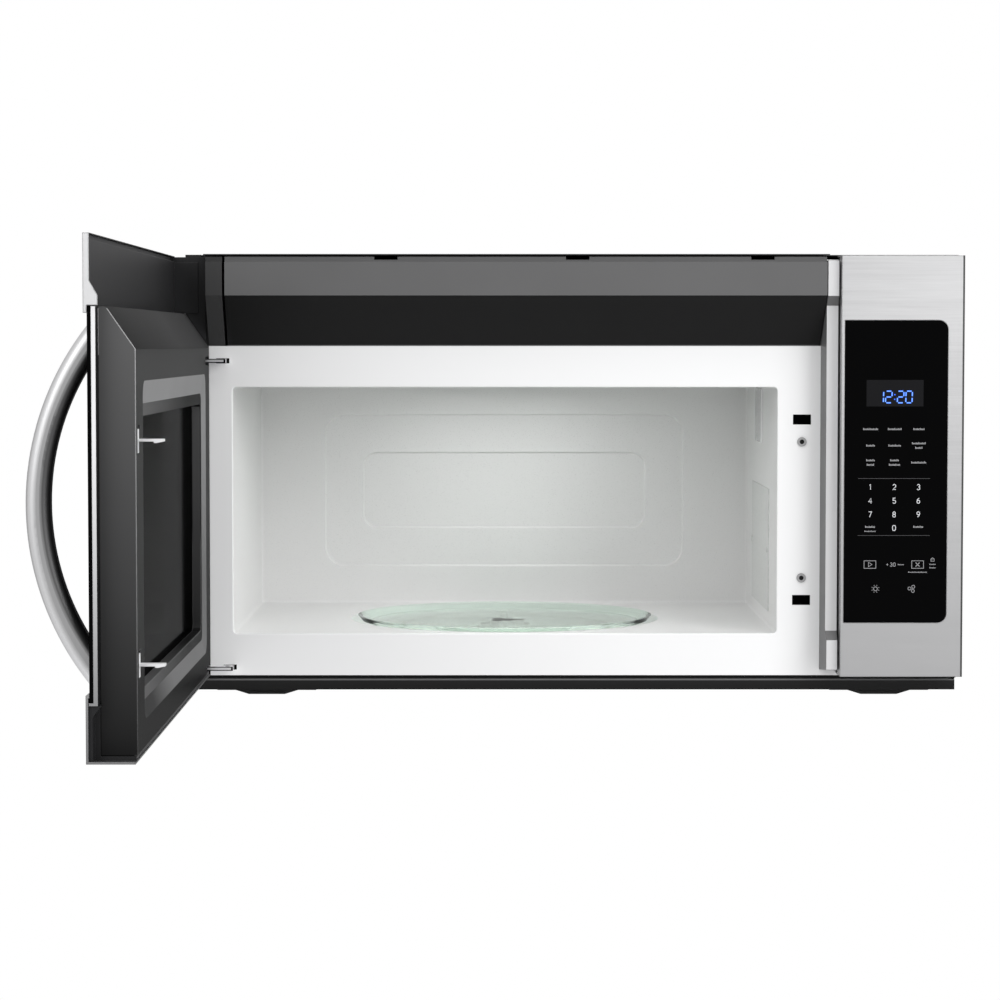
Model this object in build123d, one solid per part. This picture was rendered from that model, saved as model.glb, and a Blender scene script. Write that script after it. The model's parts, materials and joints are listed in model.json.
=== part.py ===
from build123d import *
import os

# Over-the-range microwave oven, hung on a wall under a cabinet, with its door standing open.
# Millimetres. X runs to the right seen from the front, Y runs back to the wall, Z runs up.
# The origin is the centre of the rear face, which lies on the wall.

# ---- body ----
body_width = 759.5
body_height = 434.0
body_depth = 362.0          # wall to the front plate's face
front_depth = 41.0          # door and control panel stand this far before the front plate
sheet = 1.0                 # outer case, back plate and base
front_sheet = 1.5           # front plate
liner_sheet = 1.0           # cavity walls
base_height = 10.3          # front lip of the base pan
base_side = 20.0            # side walls of the base pan, inside the case
base_gap = 4.1              # dark gap between base lip and front plate
gap_wall = 5.3              # the wall behind that gap, from the front plate's face
hook_slot = (60.0, 8.0)     # slots in the back plate for the wall bracket's hooks
hook_slot_xs = (-250.0, 250.0)
hook_slot_height = 34.0
vane_xs = (250.0, 320.0)    # cooling louvres in the base
vane_count = 6
vane_pitch = 14.0
vane_width = 5.0
case_screw_radius = 4.5
case_screw_ys = (-40.0, -180.0, -320.0)
roof_screw_xs = (-200.0, 200.0)
roof_screw_y = -340.0

# ---- oven cavity ----
cavity_width = 543.0
roof_space = 131.4          # from the cavity's ceiling to the case top
cavity_depth = 350.0
cavity_x = -71.4            # middle of the cavity
cavity_floor = 56.3         # height of the cavity floor above the underside
cavity_height = body_height - roof_space - cavity_floor
corner_round = 3.0
well_radius = 162.0
well_depth = 16.3
emboss_depth = 3.0
emboss_outer = (400.0, 170.2, 22.0)     # width, height, corner radius
emboss_inner = (315.5, 85.4, 16.0)
emboss_lift = 3.25          # middle of the pressings above the cavity's middle

# ---- front plate ----
flange_left = -366.3
flange_right = 243.0
flange_drop = 90.4          # its top edge below the case top
flange_top = body_height - flange_drop
lip_round = 1.2
slot_x = 224.7
slot_width = 18.0
slot_height = 10.0
slot_low = 89.9
slot_drop = 32.2            # upper latch slot below the cavity's ceiling
slot_heights = (slot_low, cavity_floor + cavity_height - slot_drop)
screw_inset = 22.2          # latch screws between the slots
screw_heights = (slot_heights[0] + screw_inset, slot_heights[1] - screw_inset)

# ---- door, described as if it were closed ----
door_right = 258.0
door_drop = 1.6             # door and panel tops below the case top
door_top = body_height - door_drop
door_bottom = 15.5
door_face = 2.0             # gap from the door's inner face to the front plate
frame_right = 241.5
door_open_angle = 89.8
hinge_inset = 7.0           # pivot from the door's hinge end
hinge_depth = 9.25          # pivot before the front plate
hinge_pin_radius = 3.0
running_clearance = 0.08
arm_rights = (-342.5, -348.5)           # right ends of the lower and the upper hinge arm
arm_tongue = 10.0
arm_half_width = 6.0
arm_sheet = 4.0
arm_fit = 0.5
hinge_notch = -338.0        # the inner frame is cut away to here around each arm
hinge_rail_right = -362.0
pin_low, pin_high, lower_pin = 15.0, 15.0, 18.0
end_plate = 0.8
wall_edge = 5.0             # the backing's end wall stops this far before the front plate
panel_rim = 2.4             # the folded panel's rim below the glass
door_glass_sheet = 3.1
skin = 1.0
hem = 2.0                   # rolled edge of the steel at the door's free end
band_depth = 5.0
band_thick = 11.5
band_height = 62.4          # the top band's front, down to its lip
lip_height = 5.9            # the lips that hold the glass
band_lip = door_top - band_height
band_seat = band_lip + lip_height
band_slope = (band_seat + 7.7, band_seat + 19.2)
wrap_height = 54.2          # the bottom wrap's front, up to its lip
wrap_lip = door_bottom + wrap_height
wrap_seat = wrap_lip - lip_height
wrap_slope = (wrap_seat - 2.8, wrap_seat - 11.8)
frame_back = 31.5
frame_low = door_bottom + 4.6
frame_top = band_seat - 0.3
chamfer_rise = 33.8
chamfer_foot = frame_top - chamfer_rise
chamfer_back = 25.4
frame_wall = 3.0
hinge_heights = (22.5, frame_top - 46.7)
# windows in the door: left, right, bottom, top
door_window = (-336.0, 194.0, 42.6, frame_top - 59.5)
bevel_window = (-325.0, 183.0, 56.0, frame_top - 78.1)
clear_window = (-317.5, 175.5, 66.0, frame_top - 88.6)
screen_window = (-296.0, 153.0, 104.0, frame_top - 108.6)
bevel_depth = 3.5
window_depth = 12.0
inner_glass_sheet = 2.5

# ---- handle ----
handle_x = 230.0
handle_width = 24.0
handle_reach = 52.4         # outer bow above the glass
handle_gap = 32.7           # inner bow above the glass
handle_outer = (wrap_lip + 3.1, frame_top - 11.5)
handle_inner = (handle_outer[0] + 36.9, handle_outer[1] - 34.2)
handle_screw_radius = 2.5
handle_rounds = (9.0, 8.0)  # edges of the outer and the inner bow
foot_shift = 6.0

# ---- latch ----
latch_width = 12.0
latch_sheet = 3.0
hook_width = 10.0
hook_sheet = 2.0
hook_heights = (slot_heights[0] + 0.9, slot_heights[1] - 0.9)
hook_reach = 18.5           # past the front plate's face
hook_barb = 1.2
latch_travel = 2.5
latch_depth = 6.0
latch_pad = (10.3, 8.8)     # pads behind the hooks reach this far below and above them
pad_fit = 0.3
receiver_depth = 26.0
receiver_wall = 2.0
spring_radius = 4.0
spring_wire = 0.7
spring_turns = 6
spring_depth = 16.0
spring_low = 158.0
spring_length = 26.0
seat_web = 2.5
guide_heights = (130.0, 240.0)          # ribs on the inner frame that the latch bar runs between

# ---- vent and control panel ----
vent_left = -347.5
vent_gap = 0.8              # between the grille and the trim strip
vent_front = 34.0
vent_drop = 2.6             # top of the set-back strip below the case top
vent_strip = body_height - vent_drop
vent_top = vent_strip - 5.1
vent_bend = vent_top - 33.0
vent_foot = flange_top + 1.0
vent_wall = 2.5
strip_setback = 3.5
notch_xs = (-188.7, 0.0, 182.3)          # notches in the strip's top edge
notch_half = 11.5
post_left = -366.3
post_right = -350.0
panel_left = 259.1
panel_top = door_top
panel_bottom = 17.3
glass_left = 262.5
glass_right = 363.5
glass_low = 71.1
glass_high = panel_top - 63.7
glass_round = 9.0
panel_glass_sheet = 3.2
display = (283.8, 339.8, glass_high - 84.4, glass_high - 58.4)
carrier_wall = 2.4
board_left, board_right = 268.0, 370.0
board_low, board_high = 96.0, glass_high - 38.7
board_front = 22.0
board_sheet = 1.6
# relays, coils and plugs on the control board: right, up, width, height, depth
board_blocks = ((8, 14, 18, 16, 14), (32, 14, 18, 16, 14), (56, 14, 18, 16, 14), (12, 54, 34, 30, 17),
                (62, 54, 26, 22, 12), (22, 114, 30, 30, 5), (77, 154, 14, 40, 10))
trim_skin = 1.5
trim_draft = 3.5            # lean of the trim strip's side wall

# ---- turntable ----
tray_radius = 155.0
tray_rim = 9.0
tray_sheet = 4.0
roller_radius = 5.5
roller_width = 8.0
ring_radius = 112.0
ring_wall = 5.0
roller_count = 3
roller_start = 90.0
coupler_radius = 13.0
motor_radius = 25.0
motor_height = 18.0

# ---- ventilation and microwave source ----
filter_width = 140.0
filter_length = 230.0
filter_height = 8.0
filter_ledge = 5.0
filter_y = -165.0
filter_xs = (-255.0, 112.0)
lamp_xs = (-310.1, 303.2)
lamp_width = 64.0
lamp_flat = 36.0
lamp_drop = 4.9
lamp_length = 62.0
pad_width = 99.0
pad_drop = 0.6
outlet_width = 254.0
outlet_depth = 82.5
outlet_y = -110.0
blower_radius = 38.0
blower_shell = 46.0
blower_gap = 84.0
blower_wall = 2.0
inlet_radius = 24.0
vane_blades = 24
shaft_radius = 4.0
damper_drop = 12.0
damper_wall = 2.0
damper_rise = 5.0
flap_pin = 1.5
fan_x = 300.0
fan_ring = 52.0
fan_half = 58.0
fan_depth = 30.0
fan_shaft = 2.5
fan_blades = 7
port_setback = 180.0        # feed opening in the cavity wall, behind the front plate
port_depth = 110.0
port_low, port_high = 100.0, 160.0
cover_half = 95.0           # mica cover over the feed opening
cover_low, cover_high = 71.0, 197.0
cover_sheet = 1.2
lamp_setback = 199.0
guide_wall = 1.0
guide_depth = 42.0
tube_h = 162.0
tube_size = 84.0
tube_half = 32.0
fin_count = 8
transformer_inset = 27.75   # from the case's right side
transformer_width = 120.0
transformer_ys = (-255.0, -175.0)
capacitor_y = -280.0
noise_y, noise_drop = -70.0, 74.0
loom_radius = 4.0
charcoal_xs = (-190.0, 40.0)
charcoal_depth = 22.0
gland_x, gland_y = 300.0, -60.0
bolt_spacing = 610.0
bolt_y = -300.0
bolt_radius = 3.4
cord_bore = 4.5
gland_height = 6.0

half = body_width / 2
low = -body_height / 2
top = body_height / 2
front = -body_depth
slide_fit = 0.3


def up(height):
    """Z of a height above the underside of the base."""
    return low + height


def out(distance):
    """Y of a plane this far before the front plate's face, or behind it if negative."""
    return front - distance


def block(x0, x1, y0, y1, z0, z1):
    x, y, z = abs(x1 - x0), abs(y1 - y0), abs(z1 - z0)
    return Pos((x0 + x1) / 2, (y0 + y1) / 2, (z0 + z1) / 2) * Box(x, y, z)


def front_block(x0, x1, d0, d1, h0, h1):
    """A block given by distances before the front plate and heights above the underside."""
    return block(x0, x1, out(d0), out(d1), up(h0), up(h1))


def rod(radius, x, y, z, length, axis="z"):
    """A round bar from a point along an axis."""
    turn = {"z": Rot(0, 0, 0), "x": Rot(0, 90, 0), "y": Rot(-90, 0, 0)}[axis]
    bar = Cylinder(radius, length, align=(Align.CENTER, Align.CENTER, Align.MIN))
    return Pos(x, y, z) * turn * bar


def side_prism(points, x0, x1):
    """Extrudes an outline of (distance before the front plate, height) points along X."""
    outline = Polyline(*[(out(d), up(h)) for d, h in points], close=True)
    return extrude(Plane.YZ.offset(x0) * make_face(outline), x1 - x0)


def plan_prism(points, z0, z1):
    """Extrudes an outline of (x, y) points upward."""
    outline = Polyline(*points, close=True)
    return extrude(Plane.XY.offset(z0) * make_face(outline), z1 - z0)


def face_prism(points, y0, y1):
    """Extrudes an outline of (x, z) points from y0 back to y1."""
    outline = Polyline(*points, close=True)
    return extrude(Plane.XZ.offset(-y1) * make_face(outline), y1 - y0)


def rounded_window(x0, x1, h0, h1, radius, d0, depth, grow=0.0):
    """A rounded plug from distance d0 inward toward the front, shrinking or growing as it goes."""
    plane = Plane(origin=((x0 + x1) / 2, out(d0), up((h0 + h1) / 2)), x_dir=(1, 0, 0), z_dir=(0, -1, 0))
    return extrude(plane * RectangleRounded(x1 - x0, h1 - h0, radius), depth, taper=grow)


# ---- cavity values worked out from the driving sizes ----
cavity_left = cavity_x - cavity_width / 2
cavity_right = cavity_x + cavity_width / 2
cavity_top = cavity_floor + cavity_height
emboss_height = cavity_floor + cavity_height / 2 + emboss_lift
cavity_back = front + cavity_depth
table_y = front + cavity_depth / 2
well_floor = cavity_floor - well_depth
tray_under = well_floor + 2 * roller_radius
liner_front = front + front_sheet
bay_left = cavity_right + liner_sheet
port_y = front + port_setback
lamp_window_y = front + lamp_setback
lamp_window_h = cavity_top - 32.1

# ---- door values, as if it were closed ----
door_left = -half
pivot_x = door_left + hinge_inset
pivot_y = out(hinge_depth)
glass_front = front_depth - 2.9
glass_inner = glass_front - door_glass_sheet
# the screws sit in the middle of the handle's feet, moved inward clear of the outer bow
handle_screw_heights = ((handle_outer[0] + handle_inner[0]) / 2 + foot_shift,
                        (handle_outer[1] + handle_inner[1]) / 2 - foot_shift)

# ---- values for the parts behind the panels ----
fan_h = cavity_top - 67.6
blower_base = cavity_top + liner_sheet
blower_axis = blower_base + blower_shell + 2
blower_length = (outlet_width - blower_gap) / 2 + 5
wheel_left = -blower_gap / 2 - blower_length
wheel_right = blower_gap / 2
flap_y = outlet_y - outlet_depth / 2 + 6.5
flap_z = top + 1.6
transformer_right = half - transformer_inset
capacitor_x = transformer_right - 77.0
loom_x = transformer_right


def case_wrap():
    shell = block(-half, half, front, 0, top - sheet, top)
    shell += block(-half, -half + sheet, front, 0, up(base_height + 1.7), top)
    shell += block(half - sheet, half, front, 0, up(base_height + 1.7), top)
    shell += block(-half, flange_left + 6, liner_front, liner_front + sheet, up(base_side), up(flange_top))
    shell += block(-half, post_left, liner_front, liner_front + sheet, up(flange_top), top)
    shell += block(post_left - 2, flange_right + 5, out(vent_front - 1), front, top - sheet, top)
    shell -= block(-outlet_width / 2, outlet_width / 2, outlet_y - outlet_depth / 2,
                   outlet_y + outlet_depth / 2, top - 2 * sheet, top + sheet)
    for x in (-bolt_spacing / 2, bolt_spacing / 2):
        shell += rod(bolt_radius + 3, x, bolt_y, top - sheet - 6, 6)
        shell -= rod(bolt_radius, x, bolt_y, top - 10, 20)
    return shell - rod(cord_bore + 3, gland_x, gland_y, top - 5, 10)


def back_plate():
    plate = block(-half + sheet, half - sheet, -sheet, 0, low, top - sheet)
    for x in hook_slot_xs:
        wide, tall = hook_slot
        z = up(hook_slot_height)
        plate -= block(x - wide / 2, x + wide / 2, -2 * sheet, sheet, z - tall / 2, z + tall / 2)
    return plate


def filter_opening(x):
    x0, x1 = x - filter_width / 2 + filter_ledge, x + filter_width / 2 - filter_ledge
    y0 = filter_y - filter_length / 2 + filter_ledge
    y1 = filter_y + filter_length / 2 - filter_ledge
    return block(x0, x1, y0, y1, low - sheet, low + 2 * sheet)


def base_pan():
    side = half - sheet
    pan = block(-side, side, front, -sheet, low, low + sheet)
    lip = block(-side, side, front, front + sheet, low, up(base_height))
    pan += lip
    for x in (-side, side - sheet):
        pan += block(x, x + sheet, front + sheet, -sheet, low, up(base_side))
    # a low wall that closes the gap under the front plate
    wall = front + gap_wall
    pan += block(-side, side, wall, wall + sheet, low, up(base_height + base_gap + 4))
    for x in lamp_xs:
        pan += block(x - pad_width / 2, x + pad_width / 2, front + 1, front + 1 + lamp_length + 16,
                     low - pad_drop, low)
        pan -= block(x - lamp_flat / 2, x + lamp_flat / 2, front + 8, front + lamp_length - 6,
                     low - 2, low + 2)
    for x in filter_xs:
        pan -= filter_opening(x)
        # rails that carry the filter at its two long sides
        for edge in (x - filter_width / 2 - 3, x + filter_width / 2 + 1):
            pan += block(edge, edge + 2, filter_y - filter_length / 2, filter_y + filter_length / 2,
                         low + sheet, low + sheet + filter_height + 1)
    for n in range(vane_count):
        y = outlet_y + vane_pitch * n
        pan -= block(*vane_xs, y, y + vane_width, low - sheet, low + 2 * sheet)
    return pan


def front_plate():
    right = half - 2 * sheet
    foot = base_height + base_gap
    plate = block(flange_left, right, front, liner_front, up(foot), up(flange_top))
    plate += block(flange_right, right, front, liner_front, up(flange_top), up(panel_top - 3))
    plate += block(flange_left, right, liner_front, front + 5, up(foot), up(foot) + sheet)
    opening = rounded_window(cavity_left, cavity_right, cavity_floor, cavity_top, corner_round + 1,
                             -front_sheet - 1, front_sheet + 2)
    plate -= opening
    edge = plate.edges().filter_by_position(Axis.Y, front, front).filter_by(
        lambda e: abs(e.center().X - cavity_x) < cavity_width / 2 + 1
        and abs(e.center().Z - up(cavity_floor + cavity_height / 2)) < cavity_height / 2 + 1)
    plate = fillet(edge, lip_round)
    for h in slot_heights:
        plate -= front_block(slot_x - slot_width / 2, slot_x + slot_width / 2, 1, -front_sheet - 1,
                             h - slot_height / 2, h + slot_height / 2)
    for h in screw_heights:
        plate -= rod(2.0, slot_x, front - 1, up(h), 5, "y")
    for h, right in zip(hinge_heights, arm_rights):
        tall = arm_sheet / 2 + arm_fit
        plate -= front_block(right - arm_tongue - arm_fit, right + 2.5, 1, -front_sheet - 1, h - tall, h + tall)
    plate -= front_block(glass_left, glass_right, 1, -front_sheet - 1, glass_low + 6, glass_high - 6)
    return plate


def well(radius, floor_height, z_top):
    return Pos(cavity_x, table_y, 0) * rod(radius, 0, 0, up(floor_height), z_top - up(floor_height))


def cavity_liner():
    t = liner_sheet
    outer = block(cavity_left - t, cavity_right + t, liner_front, cavity_back + t,
                  up(cavity_floor) - t, up(cavity_top) + t)
    inner = block(cavity_left, cavity_right, liner_front - 20, cavity_back, up(cavity_floor), up(cavity_top))
    back_edges = outer.faces().sort_by(Axis.Y)[-1].edges()
    outer = fillet(list(back_edges) + list(outer.edges().filter_by(Axis.Y)), corner_round + t)
    back_edges = inner.faces().sort_by(Axis.Y)[-1].edges()
    inner = fillet(list(back_edges) + list(inner.edges().filter_by(Axis.Y)), corner_round)
    liner = outer + well(well_radius + t, well_floor - t, up(cavity_floor))
    # two nested pressings stiffen the back wall
    depth = 0.0
    for width, height, radius in (emboss_outer, emboss_inner):
        box = (cavity_x - width / 2, cavity_x + width / 2, emboss_height - height / 2,
               emboss_height + height / 2)
        grow = Plane(origin=(cavity_x, cavity_back + depth, up(emboss_height)), x_dir=(-1, 0, 0),
                     z_dir=(0, 1, 0))
        liner += extrude(grow * RectangleRounded(box[1] - box[0] + 2 * t, box[3] - box[2] + 2 * t,
                                                 radius + t), emboss_depth + t, taper=30)
        inner += extrude(grow * RectangleRounded(box[1] - box[0], box[3] - box[2], radius),
                         emboss_depth, taper=30)
        depth += emboss_depth
    liner -= inner
    liner -= well(well_radius, well_floor, up(cavity_floor) + 1)
    liner -= well(4.0, well_floor - 3, up(cavity_floor))
    x0, x1 = cavity_right - 1, cavity_right + t + 1
    liner -= block(x0, x1, port_y - port_depth / 2, port_y + port_depth / 2, up(port_low), up(port_high))
    liner -= block(x0, x1, lamp_window_y - 20, lamp_window_y + 20, up(lamp_window_h - 16),
                   up(lamp_window_h + 16))
    return liner


def waveguide_cover():
    x = cavity_right
    plate = block(x - cover_sheet, x, port_y - cover_half, port_y + cover_half, up(cover_low), up(cover_high))
    for y in (port_y - cover_half + 6, port_y + cover_half - 6):
        plate += rod(3, x - 2 * cover_sheet, y, up((cover_low + cover_high) / 2), cover_sheet, "x")
    return plate


def cavity_lamp():
    """The lens in the cavity's right wall, and the bulb and holder outside it."""
    x = cavity_right
    y, h = lamp_window_y, lamp_window_h
    lens = block(x - 2, x, y - 34, y + 34, up(h - 28.5), up(h + 28.5))
    lens = fillet(lens.faces().sort_by(Axis.X)[0].edges(), 1.2)
    x += liner_sheet
    holder = block(x, x + 14, y - 24, y + 24, up(h - 22), up(h + 22))
    holder -= block(x - 1, x + 11, y - 18, y + 18, up(h - 16), up(h + 16))
    bulb = Pos(x + 6, y, up(h)) * Sphere(4.5)
    stem = rod(3, x + 6, y, up(h), 5, "x")
    return [lens, holder + bulb + stem]


# ---- turntable ----
def turntable_motor():
    z = up(well_floor) - liner_sheet - motor_height
    body = rod(motor_radius, cavity_x, table_y, z, motor_height)
    ears = block(cavity_x - 35, cavity_x + 35, table_y - 7, table_y + 7, z + motor_height - 1.5,
                 z + motor_height)
    shaft = rod(3.0, cavity_x, table_y, z, motor_height + liner_sheet + 5)
    plug = block(cavity_x - 9, cavity_x + 9, table_y + motor_radius - 3, table_y + motor_radius + 9,
                 z + 2, z + 14)
    return body + ears + shaft + plug


def turntable_coupler():
    z = up(well_floor) + 1.0
    hub = rod(coupler_radius, cavity_x, table_y, z, up(tray_under) - z)
    for n in range(3):
        lobe = Pos(cavity_x, table_y, 0) * Rot(0, 0, 120 * n) * block(0, 20, -5, 5, z + 3, up(tray_under))
        hub += lobe
    return hub - rod(3.0 + running_clearance, cavity_x, table_y, z - 1, 6)


def glass_turntable():
    z = up(tray_under)
    outline = Polyline((0, z), (tray_radius - 14, z), (tray_radius - 4, z + 4), (tray_radius, z + tray_rim),
                       (tray_radius - 3, z + tray_rim), (tray_radius - 7, z + 4 + tray_sheet * 0.9),
                       (tray_radius - 15, z + tray_sheet), (0, z + tray_sheet), close=True)
    plate = revolve(Plane.XZ * make_face(outline), Axis.Z)
    return Pos(cavity_x, table_y, 0) * plate


def roller_ring():
    z = up(well_floor) + roller_radius
    ring = rod(ring_radius + ring_wall / 2, 0, 0, z - 1.5, 3) - rod(ring_radius - ring_wall / 2, 0, 0, z - 2, 4)
    hub = rod(34, 0, 0, z - 1.5, 3) - rod(27, 0, 0, z - 2, 4)
    for n in range(roller_count):
        turn = Rot(0, 0, roller_start + 360 / roller_count * n)
        ring += turn * block(32, ring_radius - 1, -3, 3, z - 1.5, z + 1.5)
        axle = rod(1.5, ring_radius, 0, z, ring_wall / 2 + slide_fit + roller_width + 3, "x")
        cap = rod(2.6, ring_radius + ring_wall / 2 + 2 * slide_fit + roller_width, 0, z, 2, "x")
        ring += turn * (axle + cap)
    return Pos(cavity_x, table_y, 0) * (ring + hub)


def roller(n):
    z = up(well_floor) + roller_radius
    x = ring_radius + ring_wall / 2 + slide_fit
    wheel = rod(roller_radius - 0.05, x, 0, z, roller_width, "x")
    wheel = fillet(wheel.edges(), 0.8)
    wheel -= rod(1.5 + running_clearance, x - 1, 0, z, roller_width + 2, "x")
    return Pos(cavity_x, table_y, 0) * Rot(0, 0, roller_start + 360 / roller_count * n) * wheel


# ---- vent grille and control panel ----
def vent_shell(x0, x1, extra=0.0):
    """The fascia, the slope under it and the set-back strip above it, closed at both ends."""
    w, d = vent_wall, vent_front
    strip = vent_front - strip_setback
    outer = side_prism([(strip, vent_strip), (strip, vent_top), (d, vent_top), (d, vent_bend), (0, vent_foot),
                        (0, flange_top), (-9, flange_top), (-9, vent_strip)], x0, x1)
    inner = side_prism([(strip - w, vent_strip + 1), (strip - w, vent_top - w), (d - w, vent_top - w),
                        (d - w, vent_bend + 0.8), (-1.2, vent_foot + 1.5), (-10, vent_foot + 1.5),
                        (-10, vent_strip + 1)], x0 + w, x1 - w - extra)
    return outer - inner


def vent_grille():
    """The grille, its right end leaning with the side wall of the trim strip."""
    back_end = flange_right - vent_gap
    front_end = back_end + trim_draft
    grille = vent_shell(vent_left, front_end, front_end - back_end)
    grille &= plan_prism([(vent_left, front + 10), (back_end, front + 10), (back_end, front),
                          (front_end, out(vent_front)), (vent_left, out(vent_front))], low, top)
    strip = vent_front - strip_setback
    for x in notch_xs:
        grille -= front_block(x - notch_half, x + notch_half, strip + 1, strip - vent_wall - 1,
                              vent_strip - 3, vent_strip + 1)
    return grille


def vent_end_post():
    return vent_shell(post_left, post_right)


def panel_plug(clearance, d0, depth):
    """The control glass outline: square corners at the left, round ones at the right."""
    x0, x1 = glass_left - clearance, glass_right + clearance
    h0, h1 = glass_low - clearance, glass_high + clearance
    plug = front_block(x0, x1, d0, d0 + depth, h0, h1)
    right = plug.edges().filter_by(Axis.Y).group_by(Axis.X)[-1]
    return fillet(right, glass_round + clearance)


def control_bezel():
    d = front_depth
    bezel = front_block(panel_left, half, d, d - skin, panel_bottom, panel_top)
    bezel += front_block(panel_left, panel_left + skin, d, 20, panel_bottom, panel_top)
    bezel += front_block(half - skin, half, d, 0, panel_bottom, panel_top)
    for h in (panel_bottom, panel_top - skin):
        bezel += front_block(panel_left, half, d, 0.5, h, h + skin)
    return bezel - panel_plug(0.25, d - skin - 1, skin + 2)


def panel_glass():
    return panel_plug(0.0, front_depth - panel_glass_sheet, panel_glass_sheet)


def panel_carrier():
    d = front_depth
    w = carrier_wall
    x0, x1 = panel_left + skin, half - skin
    h0, h1 = panel_bottom + skin, panel_top - skin
    seat = d - panel_glass_sheet
    carrier = front_block(x0, x1, d - skin, 0, h0, h1)
    carrier -= front_block(x0 + w, x1 - w, seat - w, -1, h0 + w, h1 - w)
    carrier -= panel_plug(0.25, seat, panel_glass_sheet + 1)
    left, right, bottom, high = display
    carrier -= front_block(left, right, seat + 1, seat - w - 1, bottom, high)
    for x in (board_left + 6, board_right - 6):
        for h in (board_low + 8, board_high - 8):
            carrier += rod(3.5, x, out(seat - w), up(h), seat - w - board_front, "y")
    return carrier


def display_module():
    left, right, bottom, high = display
    seat = front_depth - panel_glass_sheet
    module = front_block(left - 4, right + 4, seat - carrier_wall, board_front, bottom - 4, high + 4)
    return module + front_block(left + 0.3, right - 0.3, seat, seat - carrier_wall, bottom + 0.3, high - 0.3)


def control_board():
    rear = board_front - board_sheet
    board = front_block(board_left, board_right, board_front, rear, board_low, board_high)
    for x, h, wide, tall, deep in board_blocks:
        x, h = board_left + x, board_low + h
        board += front_block(x, x + wide, rear, rear - deep, h, h + tall)
    return board


def panel_side_trim():
    """The stepped strip between the front plate and the control panel that the door closes over."""
    deep, shallow = vent_front, vent_front - 6.5
    foot, head = door_bottom + 4.7, vent_top + 1.2

    def profile(i):
        return [(-i, foot + i), (deep - i, foot + 3.4 + i), (deep - i, wrap_slope[1] + 0.9 - i),
                (shallow - i, wrap_slope[0] + 0.8 - i), (shallow - i, band_slope[0] - 0.3 + i),
                (deep - i, band_slope[1] - 2.2 + i), (deep - i, head - i), (-i, head - i)]

    x0, x1, draft = flange_right, panel_left - 1.9, trim_draft
    plan = plan_prism([(x0, front), (x0 + draft, out(deep)), (x1, out(deep)), (x1, front)], low, top)
    inside = x0 + trim_skin
    hollow = plan_prism([(inside, front + 1), (inside + draft, out(deep)), (x1 + 1, out(deep)),
                         (x1 + 1, front + 1)], low, top)
    return (plan & side_prism(profile(0), x0 - 1, x1 + 2)) - (
        hollow & side_prism(profile(trim_skin), x0 - 1, x1 + 3))


# ---- door ----
def band_profile(inset=0.0):
    d, i = front_depth, inset
    return [(d - i, band_lip + (0.2 if i else 0)), (d - i, door_top - i), (d - band_depth, door_top - i),
            (d - band_depth, band_slope[1]), (d - band_thick, band_slope[0]), (d - band_thick, band_seat),
            (d - 2.9, band_seat), (d - 2.9, band_lip + (0.2 if i else 0))]


def wrap_profile(inset=0.0):
    d, i = front_depth, inset
    return [(d - i, wrap_lip - (0.2 if i else 0)), (d - i, door_bottom + i), (d - band_depth, door_bottom + i),
            (d - band_depth, wrap_slope[1]), (d - band_thick, wrap_slope[0]), (d - band_thick, wrap_seat),
            (d - 2.9, wrap_seat), (d - 2.9, wrap_lip - (0.2 if i else 0))]


def door_top_band():
    d = front_depth
    band = front_block(door_left, door_right, d, d - skin, band_lip, door_top)
    band += front_block(door_left, door_right, d, d - 2 * skin, door_top - end_plate, door_top)
    band += side_prism(band_profile(), door_right - end_plate, door_right)
    return band + side_prism(band_profile(), door_left, door_left + end_plate)


def door_bottom_wrap():
    """One sheet up the front and back under the door, rolled over at the free end."""
    d = front_depth
    wrap = front_block(door_left, door_right, d, d - skin, door_bottom, wrap_lip)
    wrap += front_block(door_left + 8, door_right, d, door_face, door_bottom, door_bottom + skin)
    wrap += front_block(door_left, door_left + 8, d, d - band_depth, door_bottom, door_bottom + skin)
    wrap += front_block(door_right - hem, door_right, d, d - hem, door_bottom, wrap_lip)
    wrap += front_block(door_right - hem, door_right, d, door_face, door_bottom, door_bottom + hem)
    wrap += side_prism([(d, wrap_lip - 2), (d, wrap_lip), (glass_front, wrap_lip + 2),
                        (glass_front, wrap_lip - 2)], door_left, door_right)
    return wrap + side_prism(wrap_profile(), door_left, door_left + end_plate)


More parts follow.
